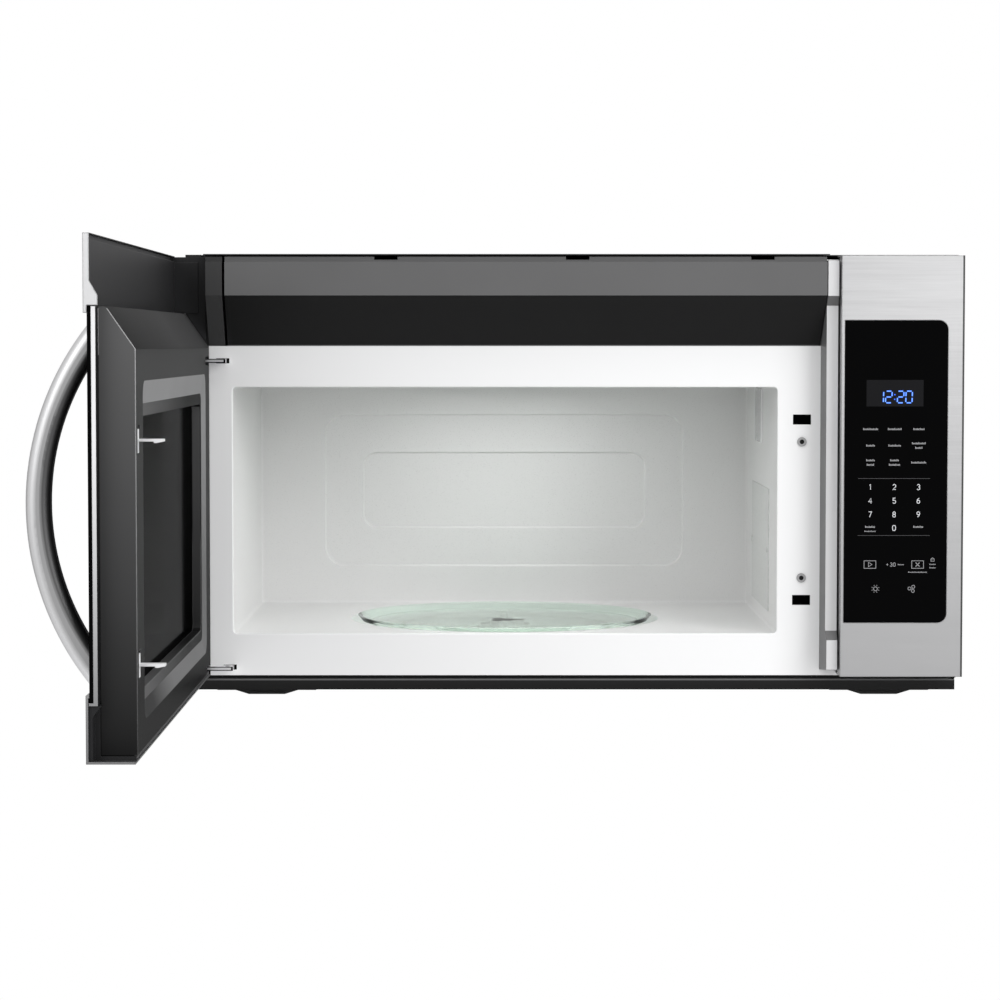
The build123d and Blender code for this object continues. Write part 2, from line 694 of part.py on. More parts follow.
def door_backing():
    """Dark plastic behind the top band and the bottom wrap, with the end wall at the hinge side."""
    x0, x1 = door_left + end_plate, door_right - end_plate
    d, back = front_depth, front_depth - band_depth
    upper = front_block(x0, x1, d - skin, back, band_seat, door_top - end_plate)
    upper += front_block(x0, x1, d - 2 * skin - 0.1, back, door_top - 2, door_top)
    upper += front_block(x0, x1, d - skin, glass_front, band_lip + 0.2, band_seat)
    upper -= front_block(x0 + 3, x1 + 1, back + 3, back - 1, door_top - 5, door_top - end_plate)
    wall = side_prism([(back, door_top - end_plate), (wall_edge, door_top - end_plate),
                       (wall_edge, chamfer_at(wall_edge) + 0.15), (chamfer_back, frame_top + 0.15),
                       (back, frame_top + 0.15)], x0, x0 + 3)
    wall = fillet(wall.edges().filter_by(Axis.X).sort_by(Axis.Z)[-2:].sort_by(Axis.Y)[-1], 4)
    step = front_block(x0 + 3, x0 + 4.2, back, wall_edge + 7.5, frame_top + 0.7, door_top - 6)
    tab = front_block(x0, x0 + 3, 25, 9.5, door_top - end_plate, door_top + 1.6)
    lower = side_prism(wrap_profile(skin), x0, x1 - hem)
    lower -= front_block(x0 - 1, frame_right + slide_fit, frame_back + 0.1, 0, 0, wrap_seat + 1)
    lower += front_block(x0, frame_right, back + 1, frame_back + 0.1, door_bottom + skin, wrap_slope[0])
    lower += front_block(door_left + 9, frame_right, back + 1, door_face + 1.2, door_bottom + skin,
                         frame_low - 0.4)
    lower -= front_block(x0 - 1, x1, d, 0, wrap_seat - panel_rim - 0.1, wrap_lip)
    return [upper + wall + step + tab, lower]


def chamfer_at(distance):
    """Height of the inner frame's chamfer at a distance before the front plate."""
    return chamfer_foot + (distance - door_face) / (chamfer_back - door_face) * chamfer_rise


def door_glass():
    x0, x1 = door_left + 1.0, door_right - end_plate
    pane = front_block(x0, x1, glass_front, glass_inner, wrap_seat, band_seat)
    for h in handle_screw_heights:
        pane -= rod(handle_screw_radius + 0.5, handle_x, out(front_depth), up(h), 15, "y")
    return pane


def door_panel():
    """The folded steel panel behind the outer glass, with its window opening."""
    x0, x1 = door_left + 1.5, door_right - 1.0
    h0, h1 = wrap_seat + 0.05, frame_top - 0.5
    tray = front_block(x0, x1, glass_inner, frame_back, h0 - panel_rim, h1)
    tray -= front_block(x0 + 2, x1 - 2, glass_inner + 1, frame_back + 1, h0 + 2, h1 - 2)
    tray += front_block(x0 + 1, x1, glass_inner, front_depth - hem - 0.3, h0 - panel_rim, h0 - 0.05)
    left, right, bottom, high = screen_window
    tray -= front_block(left - 8, right + 8, glass_inner, frame_back - 1, bottom - 8, high + 8)
    for h in handle_screw_heights:
        tray -= rod(handle_screw_radius + 0.5, handle_x, out(glass_inner + 1), up(h), 15, "y")
    return tray


def door_screen():
    left, right, bottom, high = screen_window
    return front_block(left - 16, right + 16, frame_back, frame_back - 0.6, bottom - 16, high + 16)


def frame_outline(inset):
    i = inset
    run, rise = chamfer_back - door_face, frame_top - chamfer_foot
    slope = (run ** 2 + rise ** 2) ** 0.5
    lift = i * (slope - run) / rise if rise else 0
    return [(frame_back + (1 if i else 0), frame_low + i),
            (door_face + i, frame_low + i), (door_face + i, chamfer_foot - lift),
            (chamfer_back + i * 0.3, frame_top - i), (frame_back + (1 if i else 0), frame_top - i)]


def door_inner_frame():
    left = door_left + end_plate + 0.2
    body = side_prism(frame_outline(0), left, frame_right)
    corner = body.edges().filter_by(Axis.Z).group_by(Axis.X)[0].sort_by(Axis.Y)[-1]
    body = fillet(corner, 5)
    body -= side_prism(frame_outline(frame_wall), hinge_rail_right, frame_right - frame_wall)
    wl, wr, wb, wt = door_window
    surround = front_block(wl - 9, wr + 9, door_face + window_depth, door_face, wb - 9, wt + 9)
    body += surround
    # a shallow bevel, then a straight step down to the inner glass
    bevel = []
    for (left_x, right_x, foot, head), depth, radius in ((door_window, 0, 14), (bevel_window, bevel_depth, 9)):
        centre = ((left_x + right_x) / 2, out(door_face + depth), up((foot + head) / 2))
        plane = Plane(origin=centre, x_dir=(1, 0, 0), z_dir=(0, -1, 0))
        bevel.append(plane * RectangleRounded(right_x - left_x, head - foot, radius))
    body -= loft(bevel)
    cl, cr, cb, ct = clear_window
    body -= rounded_window(cl, cr, cb, ct, 8, door_face, window_depth + 2)
    for h in hook_heights:
        body -= front_block(slot_x - 7, slot_x + 7, frame_wall + door_face + 1, 0, h - latch_pad[0] - pad_fit,
                            h + latch_pad[1] + latch_travel + pad_fit)
    for h in hinge_heights:
        body -= front_block(left - 1, hinge_notch, hinge_depth + 7.2, 0, h - 4.2, h + 4.2)
    upper, lower = hinge_heights[1], hinge_heights[0]
    body -= rod(hinge_pin_radius + running_clearance, pivot_x, pivot_y, up(upper - pin_low), pin_low + pin_high)
    body -= rod(hinge_pin_radius + running_clearance, pivot_x, pivot_y, up(lower), lower_pin)
    # the seat above the latch spring stands on a web that passes through the bar
    seat = spring_low + spring_length
    body += front_block(slot_x - 6, slot_x + 6, spring_depth + 6, latch_depth + latch_sheet + 1, seat, seat + 3)
    body += front_block(slot_x - seat_web, slot_x + seat_web, spring_depth + 6, frame_wall + door_face,
                        seat, seat + 3)
    for h in guide_heights:
        for x in (slot_x - latch_width / 2 - slide_fit - 3, slot_x + latch_width / 2 + slide_fit):
            body += front_block(x, x + 3, latch_depth + latch_sheet + 1, frame_wall + door_face, h, h + 12)
    return body


def door_window_glass():
    cl, cr, cb, ct = clear_window
    back = door_face + window_depth
    return front_block(cl - 8, cr + 8, back, back + inner_glass_sheet, cb - 8, ct + 8)


def handle_bar():
    glass = glass_front

    def point(d, h):
        return out(d), up(h)

    (outer_low, outer_high), (inner_low, inner_high) = handle_outer, handle_inner
    mid_outer, mid_inner = sum(handle_outer) / 2, sum(handle_inner) / 2
    outline = [ThreePointArc(point(glass, outer_low), point(glass + handle_reach, mid_outer),
                             point(glass, outer_high)),
               Line(point(glass, outer_high), point(glass, inner_high)),
               ThreePointArc(point(glass, inner_high), point(glass + handle_gap, mid_inner),
                             point(glass, inner_low)),
               Line(point(glass, inner_low), point(glass, outer_low))]
    bar = extrude(Plane.YZ.offset(handle_x - handle_width / 2) * make_face(outline), handle_width)
    bows = bar.edges().filter_by(GeomType.CIRCLE).sort_by(lambda e: e.center().Y)
    bar = fillet(bows[:2], handle_rounds[0])
    inner_y, inner_z = out(glass + handle_gap), up(mid_inner) + 1
    inner = bar.edges().filter_by(GeomType.CIRCLE).filter_by(
        lambda e: abs((e @ 0.5).Y - inner_y) < 0.5 and abs((e @ 0.5).Z - inner_z) < 3)
    bar = fillet(inner, handle_rounds[1])
    for h in handle_screw_heights:
        bar -= rod(handle_screw_radius, handle_x, out(glass + 12), up(h), 13, "y")
    return bar


def handle_screws():
    glass = glass_front
    screws = []
    for h in handle_screw_heights:
        shank = rod(handle_screw_radius, handle_x, out(glass + 11), up(h), glass + 11 - frame_back, "y")
        head = rod(5, handle_x, out(frame_back), up(h), 3, "y")
        screws.append(shank + head)
    return screws


def latch_bar():
    bar = front_block(slot_x - latch_width / 2, slot_x + latch_width / 2, latch_depth + latch_sheet,
                      latch_depth, hook_heights[0] - 6, hook_heights[1] + 6)
    for h in hook_heights:
        bar += front_block(slot_x - latch_width / 2, slot_x + latch_width / 2, latch_depth,
                           door_face + pad_fit, h - latch_pad[0], h + latch_pad[1])
        x0, x1 = slot_x - hook_width / 2, slot_x + hook_width / 2
        bar += front_block(x0, x1, latch_depth, -hook_reach, h - hook_sheet / 2, h + hook_sheet / 2)
        edge = h - hook_sheet / 2
        bar += side_prism([(-hook_reach, edge), (-hook_reach + 6, edge - hook_barb),
                           (-hook_reach + 8, edge - hook_barb), (-hook_reach + 8, edge)], x0, x1)
    # the tab under the spring, and the hole the spring seat's web passes through
    bar += front_block(slot_x - 6, slot_x + 6, spring_depth + 6, latch_depth, spring_low - 3, spring_low)
    seat = spring_low + spring_length
    return bar - front_block(slot_x - seat_web - 0.5, slot_x + seat_web + 0.5, latch_depth + latch_sheet + 1,
                             latch_depth - 1, seat - latch_travel - 0.5, seat + 3.5)


def latch_spring():
    """A compression spring drawn as level turns joined by short risers."""
    pitch = (spring_length - 2 * spring_wire) / spring_turns
    pieces = [Pos(0, 0, spring_wire) * Torus(spring_radius, spring_wire)]
    for n in range(spring_turns):
        z = spring_wire + pitch * n
        side = spring_radius if n % 2 else -spring_radius
        pieces.append(Pos(0, 0, z + pitch) * Torus(spring_radius, spring_wire))
        pieces.append(rod(spring_wire * 0.9, side, 0, z, pitch))
    coil = pieces[0].fuse(*pieces[1:])
    return Pos(slot_x, out(spring_depth), up(spring_low)) * coil


# ---- hinges and latch receiver ----
def hinge_arm(h, right, foot_low):
    z0, z1 = up(h) - arm_sheet / 2, up(h) + arm_sheet / 2
    arm = rod(arm_half_width, pivot_x, pivot_y, z0, arm_sheet)
    arm += block(pivot_x, right, pivot_y - arm_half_width, pivot_y + arm_half_width, z0, z1)
    arm += block(right - arm_tongue, right, pivot_y, liner_front + 2, z0, z1)
    foot_left = max(right - arm_tongue - 6, flange_left + 6.5)
    arm += block(foot_left, right + 6, liner_front, liner_front + 3, up(foot_low), up(foot_low + 24))
    arm -= rod(2.5, right - arm_half_width, pivot_y, z0 - 1, arm_sheet + 2)
    return arm - rod(hinge_pin_radius, pivot_x, pivot_y, z0 - 1, arm_sheet + 2)


def hinge_pins():
    lower, upper = hinge_heights
    half_arm = arm_sheet / 2
    return [rod(hinge_pin_radius, pivot_x, pivot_y, up(lower - half_arm), lower_pin - 1 + half_arm),
            rod(hinge_pin_radius, pivot_x, pivot_y, up(upper - pin_low + 1), pin_low + pin_high - 2)]


def latch_receiver():
    x0, x1 = slot_x - 14, slot_x + 14
    h0, h1 = slot_heights[0] - 12, slot_heights[1] + 12
    w = receiver_wall
    channel = front_block(x0, x1, -front_sheet, -receiver_depth, h0, h1)
    channel -= front_block(x0 + w, x1 - w, 0, -receiver_depth + w, h0 + w, h1 - w)
    for h in screw_heights:
        channel += rod(4.5, slot_x, liner_front, up(h), receiver_depth - front_sheet - w, "y")
        channel -= rod(2.0, slot_x, liner_front - 1, up(h), 12, "y")
    return channel


def latch_screws():
    screws = []
    for h in screw_heights:
        head = rod(4.6, slot_x, out(1.2), up(h), 1.2, "y")
        head += rod(2.0, slot_x, front, up(h), 10, "y")
        screws.append(head - rod(2.3, slot_x, out(2), up(h), 1.5, "y"))
    return screws


def interlock_switches():
    switches = []
    for h in (slot_heights[0] - 4, (slot_heights[0] + slot_heights[1]) / 2, slot_heights[1] - 24):
        body = front_block(slot_x - 10, slot_x + 6, -receiver_depth, -receiver_depth - 10, h, h + 28)
        for step in (4, 14, 22):
            body += front_block(slot_x + 6, slot_x + 13, -receiver_depth - 4, -receiver_depth - 5,
                                h + step, h + step + 4)
        switches.append(body)
    return switches


# ---- microwave source, in the bay right of the cavity ----
def waveguide():
    x0 = bay_left
    y0, y1 = port_y - port_depth / 2 - 6, port_y + port_depth / 2 + 6
    h0, h1 = port_low - 6, tube_h + tube_half
    outer = block(x0, x0 + guide_depth, y0, y1, up(h0), up(h1))
    inner = block(x0 - 1, x0 + guide_depth - guide_wall, y0 + guide_wall, y1 - guide_wall,
                  up(h0 + guide_wall), up(h1 - guide_wall))
    return outer - inner - rod(17, x0 + guide_depth - 5, port_y, up(tube_h), 10, "x")


def magnetron():
    x0 = bay_left + guide_depth
    half_y, half_h = tube_half + 6, tube_half - 2
    body = block(x0, x0 + 3, port_y - tube_size / 2, port_y + tube_size / 2, up(tube_h - tube_half),
                 up(tube_h + tube_half))
    # the yoke: two end plates, then a bottom and a top
    for x in (x0 + 3, x0 + 56):
        body += block(x, x + 4, port_y - half_y, port_y + half_y, up(tube_h - half_h), up(tube_h + half_h))
    for h in (tube_h - tube_half, tube_h + half_h):
        body += block(x0 + 3, x0 + 60, port_y - half_y, port_y + half_y, up(h), up(h + 2))
    body += rod(20, x0 + 3, port_y, up(tube_h), 56, "x")
    for n in range(fin_count):
        x = x0 + 12 + 5.4 * n
        body += block(x, x + 0.8, port_y - half_y + 2, port_y + half_y - 2, up(tube_h - half_h),
                      up(tube_h + half_h))
    body += block(x0 + 60, x0 + 88, port_y - 26, port_y + 26, up(tube_h - 20), up(tube_h + 20))
    return body + rod(8, x0 - 26, port_y, up(tube_h), 26, "x")


def transformer():
    x0, x1 = transformer_right - transformer_width, transformer_right
    y0, y1 = transformer_ys
    base = low + sheet
    core = block(x0 + 8, x1 - 8, y0 + 22, y1 - 22, base + 3, base + 83)
    coils = block(x0 + 20, x1 - 20, y0, y1, base + 21, base + 65)
    coils = fillet(coils.edges().filter_by(Axis.Z), 14)
    foot = block(x0, x1, y0 + 22, y1 - 22, base, base + 3)
    return core + coils + foot


def capacitor_and_diode():
    base = low + sheet
    x, y = capacitor_x, capacitor_y
    can = Pos(x, y, base) * extrude(SlotOverall(86, 34), 48)
    for post in (x - 13, x + 13):
        can += rod(3, post, y, base + 48, 8)
    strap = block(transformer_right - 18, transformer_right, y - 26, y - 14, base, base + 4)
    return [can, strap + rod(4, transformer_right - 14, y - 20, base + 4, 30)]


def noise_filter_board():
    side, y, h = half - sheet, noise_y, body_height - noise_drop
    board = block(side - 12, side - 10.4, y - 40, y + 40, up(h - 40), up(h + 40))
    for dy in (-34, 34):
        for dh in (-34, 34):
            board += rod(3, side - 10.4, y + dy, up(h + dh), 10.4, "x")
    board += block(side - 34, side - 12, y - 25, y + 5, up(h - 25), up(h + 5))
    return board + block(side - 30, side - 12, y + 10, y + 28, up(h - 10), up(h + 25))


def cooling_fan_frame():
    y1 = -sheet
    y0 = y1 - fan_depth
    frame = block(fan_x - fan_half, fan_x + fan_half, y0, y1, up(fan_h - fan_half), up(fan_h + fan_half))
    frame -= rod(fan_ring, fan_x, y0 - 1, up(fan_h), fan_depth - 5, "y")
    frame += rod(16, fan_x, y1 - 12, up(fan_h), 8, "y")
    return frame - rod(fan_shaft + running_clearance, fan_x, y1 - 13, up(fan_h), 9, "y")


def cooling_fan_rotor():
    y0 = -sheet - fan_depth + 2
    hub = rod(14, fan_x, y0, up(fan_h), 14, "y")
    hub += rod(fan_shaft, fan_x, y0 + 13, up(fan_h), 9, "y")
    for n in range(fan_blades):
        blade = Rot(0, 360 / fan_blades * n, 0) * (Pos(30, 0, 0) * Rot(35, 0, 0) * Box(38, 14, 1.6))
        hub += Pos(fan_x, y0 + 7, up(fan_h)) * blade
    return hub


# ---- exhaust blower above the cavity ----
def blower_housing():
    w, long, y = blower_wall, blower_length + 8, outlet_y
    axis = up(blower_axis)
    pieces = []
    for x in (wheel_left - 4, wheel_right - 4):
        solid = rod(blower_shell, x, y, axis, long, "x")
        solid += block(x, x + long, y - 38, y + blower_shell, axis, top - damper_drop)
        solid += block(x, x + long, y - 30, y + 30, up(blower_base), axis)
        hollow = rod(blower_shell - w, x + w, y, axis, long - 2 * w, "x")
        hollow += block(x + w, x + long - w, y - 38 + w, y + blower_shell - w, axis, top)
        # round inlets in both side walls
        inlet = rod(inlet_radius, x - 1, y, axis, long + 2, "x")
        pieces.append(solid - hollow - inlet)
    bridge = block(wheel_left + blower_length, wheel_right, y - 30, y + 30, up(blower_base),
                   up(blower_base) + w)
    return pieces[0] + pieces[1] + bridge


def blower_motor():
    gap = blower_gap - 2 * 5
    can = rod(30, -gap / 2, outlet_y, up(blower_axis), gap, "x")
    saddle = block(-22, 22, outlet_y - 20, outlet_y + 20, up(blower_base) + 2, up(blower_axis) - 20)
    bore = rod(shaft_radius + running_clearance, -gap, outlet_y, up(blower_axis), 2 * gap, "x")
    return can + saddle - bore


def blower_wheels():
    span = wheel_right * 2 + 2 * blower_length - 8
    wheel = rod(shaft_radius, wheel_left + 4, outlet_y, up(blower_axis), span, "x")
    for x in (wheel_left, wheel_right):
        wheel += rod(blower_radius, x + blower_length / 2 - 1, outlet_y, up(blower_axis), 2, "x")
        for end in (x, x + blower_length - 3):
            ring = rod(blower_radius, end, outlet_y, up(blower_axis), 3, "x")
            wheel += ring - rod(blower_radius - 7, end - 1, outlet_y, up(blower_axis), 5, "x")
        for n in range(vane_blades):
            vane = Pos(0, 0, blower_radius - 3.5) * Rot(25, 0, 0) * Box(blower_length - 1, 1.2, 5.6)
            turn = Rot(360 / vane_blades * n, 0, 0)
            wheel += Pos(x + blower_length / 2, outlet_y, up(blower_axis)) * turn * vane
    return wheel


def damper_frame():
    x, y = outlet_width / 2 - 0.4, outlet_depth / 2 - 0.4
    z0, z1 = top - damper_drop, top + damper_rise
    collar = block(-x, x, outlet_y - y, outlet_y + y, z0, z1)
    collar -= block(-x + damper_wall, x - damper_wall, outlet_y - y + damper_wall, outlet_y + y - damper_wall,
                    z0 - 1, z1 + 1)
    flange = block(-x - 8, x + 8, outlet_y - y - 8, outlet_y + y + 8, top, top + 1.5)
    flange -= block(-x, x, outlet_y - y, outlet_y + y, top - 1, top + 3)
    ledge = block(-x, x, outlet_y + y - 7, outlet_y + y, top - 3.2, top - 1.2)
    for side in (-x, x - 7):
        ledge += block(side, side + 7, outlet_y - y, outlet_y + y, top - 3.2, top - 1.2)
    frame = collar + flange + ledge
    return frame - rod(flap_pin + running_clearance, -x - 9, flap_y, flap_z, 2 * x + 18, "x")


def damper_flap():
    x = outlet_width / 2 - 0.4 - damper_wall - 0.6
    y1 = outlet_y + outlet_depth / 2 - 0.4 - damper_wall - 0.8
    plate = block(-x, x, flap_y, y1, top - 0.7, top + 0.3)
    knuckle = rod(2.4, -x, flap_y, flap_z, 2 * x, "x")
    pin = rod(flap_pin, -x - damper_wall - 0.4, flap_y, flap_z, 2 * x + 2 * damper_wall + 0.8, "x")
    return plate + knuckle + pin


def charcoal_filter():
    """A block of carbon in a tray, in the air path behind the vent grille."""
    y0 = front + 12
    left, right = charcoal_xs
    return block(left, right, y0, y0 + charcoal_depth, up(blower_base), top - sheet - 4)


def grease_filter(x):
    z = low + sheet + slide_fit
    w, l = filter_width / 2 - slide_fit, filter_length / 2
    y = filter_y
    pad = block(x - w, x + w, y - l, y + l, z, z + filter_height)
    pad = fillet(pad.edges().filter_by(Axis.Z), 4)
    pad -= block(x - w + 8, x + w - 8, y - l + 8, y + l - 8, z + filter_height - 1.5, z + filter_height + 1)
    grip = block(x - 14, x + 14, y - l + 16, y - l + 26, z - 4.5, z)
    grip = fillet(grip.edges().filter_by(Axis.Z), 3)
    return pad + grip


# ---- lamps under the base ----
def lamp_lens(x):
    """A smoked trapezoid cover that stands a little below the base pan."""
    wide, flat = lamp_width / 2, lamp_flat / 2
    z, foot = low - pad_drop, low - lamp_drop
    y0, y1 = front + 3, front + 3 + lamp_length
    lens = face_prism([(x - wide, z), (x - flat, foot), (x + flat, foot), (x + wide, z)], y0, y1)
    inside = foot + 1.8
    hollow = face_prism([(x - wide + 7, z + 1), (x - flat + 3, inside), (x + flat - 3, inside),
                         (x + wide - 7, z + 1)], y0 + 2, y1 - 2)
    return lens - hollow


def cooktop_lamp(x):
    z = low + sheet
    holder = block(x - 24, x + 24, front + 8, front + 58, z, z + 16)
    holder -= block(x - 16, x + 16, front + 12, front + 52, z - 1, z + 12)
    bulb = rod(5, x, front + 10, z + 6, 43, "y")
    return holder + bulb


def cord_gland():
    flange = rod(cord_bore + 8, gland_x, gland_y, top, 1.5)
    body = rod(cord_bore + 3, gland_x, gland_y, top - 8, 8 + gland_height)
    nut = rod(cord_bore + 6, gland_x, gland_y, top - sheet - 3, 3)
    return flange + body + nut - rod(cord_bore, gland_x, gland_y, top - 10, gland_height + 20)


def case_screws():
    screws = []
    for y in case_screw_ys:
        for x in (-half - 2.0, half):
            screws.append(rod(case_screw_radius, x, y, up(base_side - 5), 2.0, "x"))
    for x in roof_screw_xs:
        screws.append(rod(case_screw_radius, x, roof_screw_y, top, 1.5))
    return screws


def wiring_loom():
    """The harness from the control board back and down to the transformer's winding."""
    coil_front = transformer_ys[0] + 17.5
    start = (loom_x + 3, out(board_front - board_sheet), up(140))
    path = FilletPolyline(start, (loom_x + 3, front + 32, up(140)), (loom_x, coil_front, up(100)),
                          (loom_x, coil_front, up(50)), (loom_x - 20, coil_front, up(50)), radius=9)
    return sweep(Plane(path @ 0, z_dir=path % 0) * Circle(loom_radius), path=path)


fixed = {
    "case_wrap": case_wrap, "back_plate": back_plate, "base_pan": base_pan, "front_plate": front_plate,
    "cavity_liner": cavity_liner, "waveguide_cover": waveguide_cover, "cavity_lamp": cavity_lamp,
    "turntable_motor": turntable_motor, "turntable_coupler": turntable_coupler,
    "glass_turntable": glass_turntable, "roller_ring": roller_ring, "vent_grille": vent_grille,
    "vent_end_post": vent_end_post, "control_bezel": control_bezel, "panel_glass": panel_glass,
    "panel_carrier": panel_carrier, "display_module": display_module, "control_board": control_board,
    "panel_side_trim": panel_side_trim, "hinge_pins": hinge_pins, "latch_receiver": latch_receiver,
    "latch_screws": latch_screws, "interlock_switches": interlock_switches, "waveguide": waveguide,
    "magnetron": magnetron, "transformer": transformer, "capacitor_and_diode": capacitor_and_diode,
    "noise_filter_board": noise_filter_board, "cooling_fan_frame": cooling_fan_frame,
    "cooling_fan_rotor": cooling_fan_rotor, "blower_housing": blower_housing, "blower_motor": blower_motor,
    "blower_wheels": blower_wheels, "damper_frame": damper_frame, "damper_flap": damper_flap,
    "charcoal_filter": charcoal_filter, "cord_gland": cord_gland, "case_screws": case_screws,
    "hinge_arm_lower": lambda: hinge_arm(hinge_heights[0], arm_rights[0], hinge_heights[0] - 5),
    "hinge_arm_upper": lambda: hinge_arm(hinge_heights[1], arm_rights[1], hinge_heights[1] - 12),
    "grease_filter_left": lambda: grease_filter(filter_xs[0]),
    "grease_filter_right": lambda: grease_filter(filter_xs[1]),
    "cooktop_lenses": lambda: [lamp_lens(x) for x in lamp_xs],
    "cooktop_lamps": lambda: [cooktop_lamp(x) for x in lamp_xs],
    "wiring_loom": wiring_loom,
}
for number in range(roller_count):
    fixed[f"roller_{number + 1}"] = lambda number=number: roller(number)

swinging = {
    "door_top_band": door_top_band, "door_bottom_wrap": door_bottom_wrap, "door_backing": door_backing,
    "door_glass": door_glass, "door_panel": door_panel, "door_screen": door_screen,
    "door_inner_frame": door_inner_frame, "door_window": door_window_glass, "handle_bar": handle_bar,
    "handle_screws": handle_screws, "latch_bar": latch_bar, "latch_spring": latch_spring,
}


def whole(piece):
    """One shape from a single piece or a list of separate pieces."""
    return Compound(children=list(piece)) if isinstance(piece, list) else piece


os.makedirs("parts", exist_ok=True)
open_turn = Pos(pivot_x, pivot_y, 0) * Rot(0, 0, -door_open_angle) * Pos(-pivot_x, -pivot_y, 0)
for node, make in fixed.items():
    export_step(whole(make()), f"parts/{node}.step")
for node, make in swinging.items():
    export_step(open_turn * whole(make()), f"parts/{node}.step")
print(len(fixed) + len(swinging), "nodes")
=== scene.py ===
import json
from math import cos, radians, sin

import bmesh
import bpy
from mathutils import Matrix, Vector


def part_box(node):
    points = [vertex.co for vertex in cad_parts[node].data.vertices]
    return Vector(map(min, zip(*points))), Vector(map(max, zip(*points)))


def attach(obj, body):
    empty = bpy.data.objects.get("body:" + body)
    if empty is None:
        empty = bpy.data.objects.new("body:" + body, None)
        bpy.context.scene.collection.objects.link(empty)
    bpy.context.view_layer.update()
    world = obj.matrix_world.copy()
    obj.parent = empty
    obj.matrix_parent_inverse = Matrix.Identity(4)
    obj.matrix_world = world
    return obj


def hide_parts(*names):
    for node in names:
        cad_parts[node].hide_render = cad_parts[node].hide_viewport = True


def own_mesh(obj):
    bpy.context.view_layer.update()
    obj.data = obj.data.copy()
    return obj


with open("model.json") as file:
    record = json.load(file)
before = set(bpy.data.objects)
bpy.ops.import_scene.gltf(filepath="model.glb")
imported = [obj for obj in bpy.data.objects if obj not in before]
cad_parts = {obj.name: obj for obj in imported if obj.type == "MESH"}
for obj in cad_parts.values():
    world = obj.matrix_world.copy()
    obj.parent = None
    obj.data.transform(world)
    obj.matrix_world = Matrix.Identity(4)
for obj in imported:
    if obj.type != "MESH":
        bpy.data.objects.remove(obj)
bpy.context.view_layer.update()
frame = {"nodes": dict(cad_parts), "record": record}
nodes = frame["nodes"]
mm = 0.001
print("frame loaded,", len(nodes), "nodes")


# shader maths: a wrapped socket takes part in plain arithmetic
class Shade:
    def __init__(self, look, socket):
        self.look = look
        self.socket = socket

    def maths(self, operation, *values):
        return self.look.add("ShaderNodeMath", {"operation": operation}, dict(enumerate(values)))

    def __add__(self, other):
        return self.maths("ADD", self, other)

    def __radd__(self, other):
        return self.maths("ADD", other, self)

    def __sub__(self, other):
        return self.maths("SUBTRACT", self, other)

    def __rsub__(self, other):
        return self.maths("SUBTRACT", other, self)

    def __mul__(self, other):
        return self.maths("MULTIPLY", self, other)

    def __rmul__(self, other):
        return self.maths("MULTIPLY", other, self)

    def __lt__(self, other):
        return self.maths("LESS_THAN", self, other)

    def __gt__(self, other):
        return self.maths("GREATER_THAN", self, other)


oddNames = {"shine": "Specular IOR Level", "bending": "IOR"}


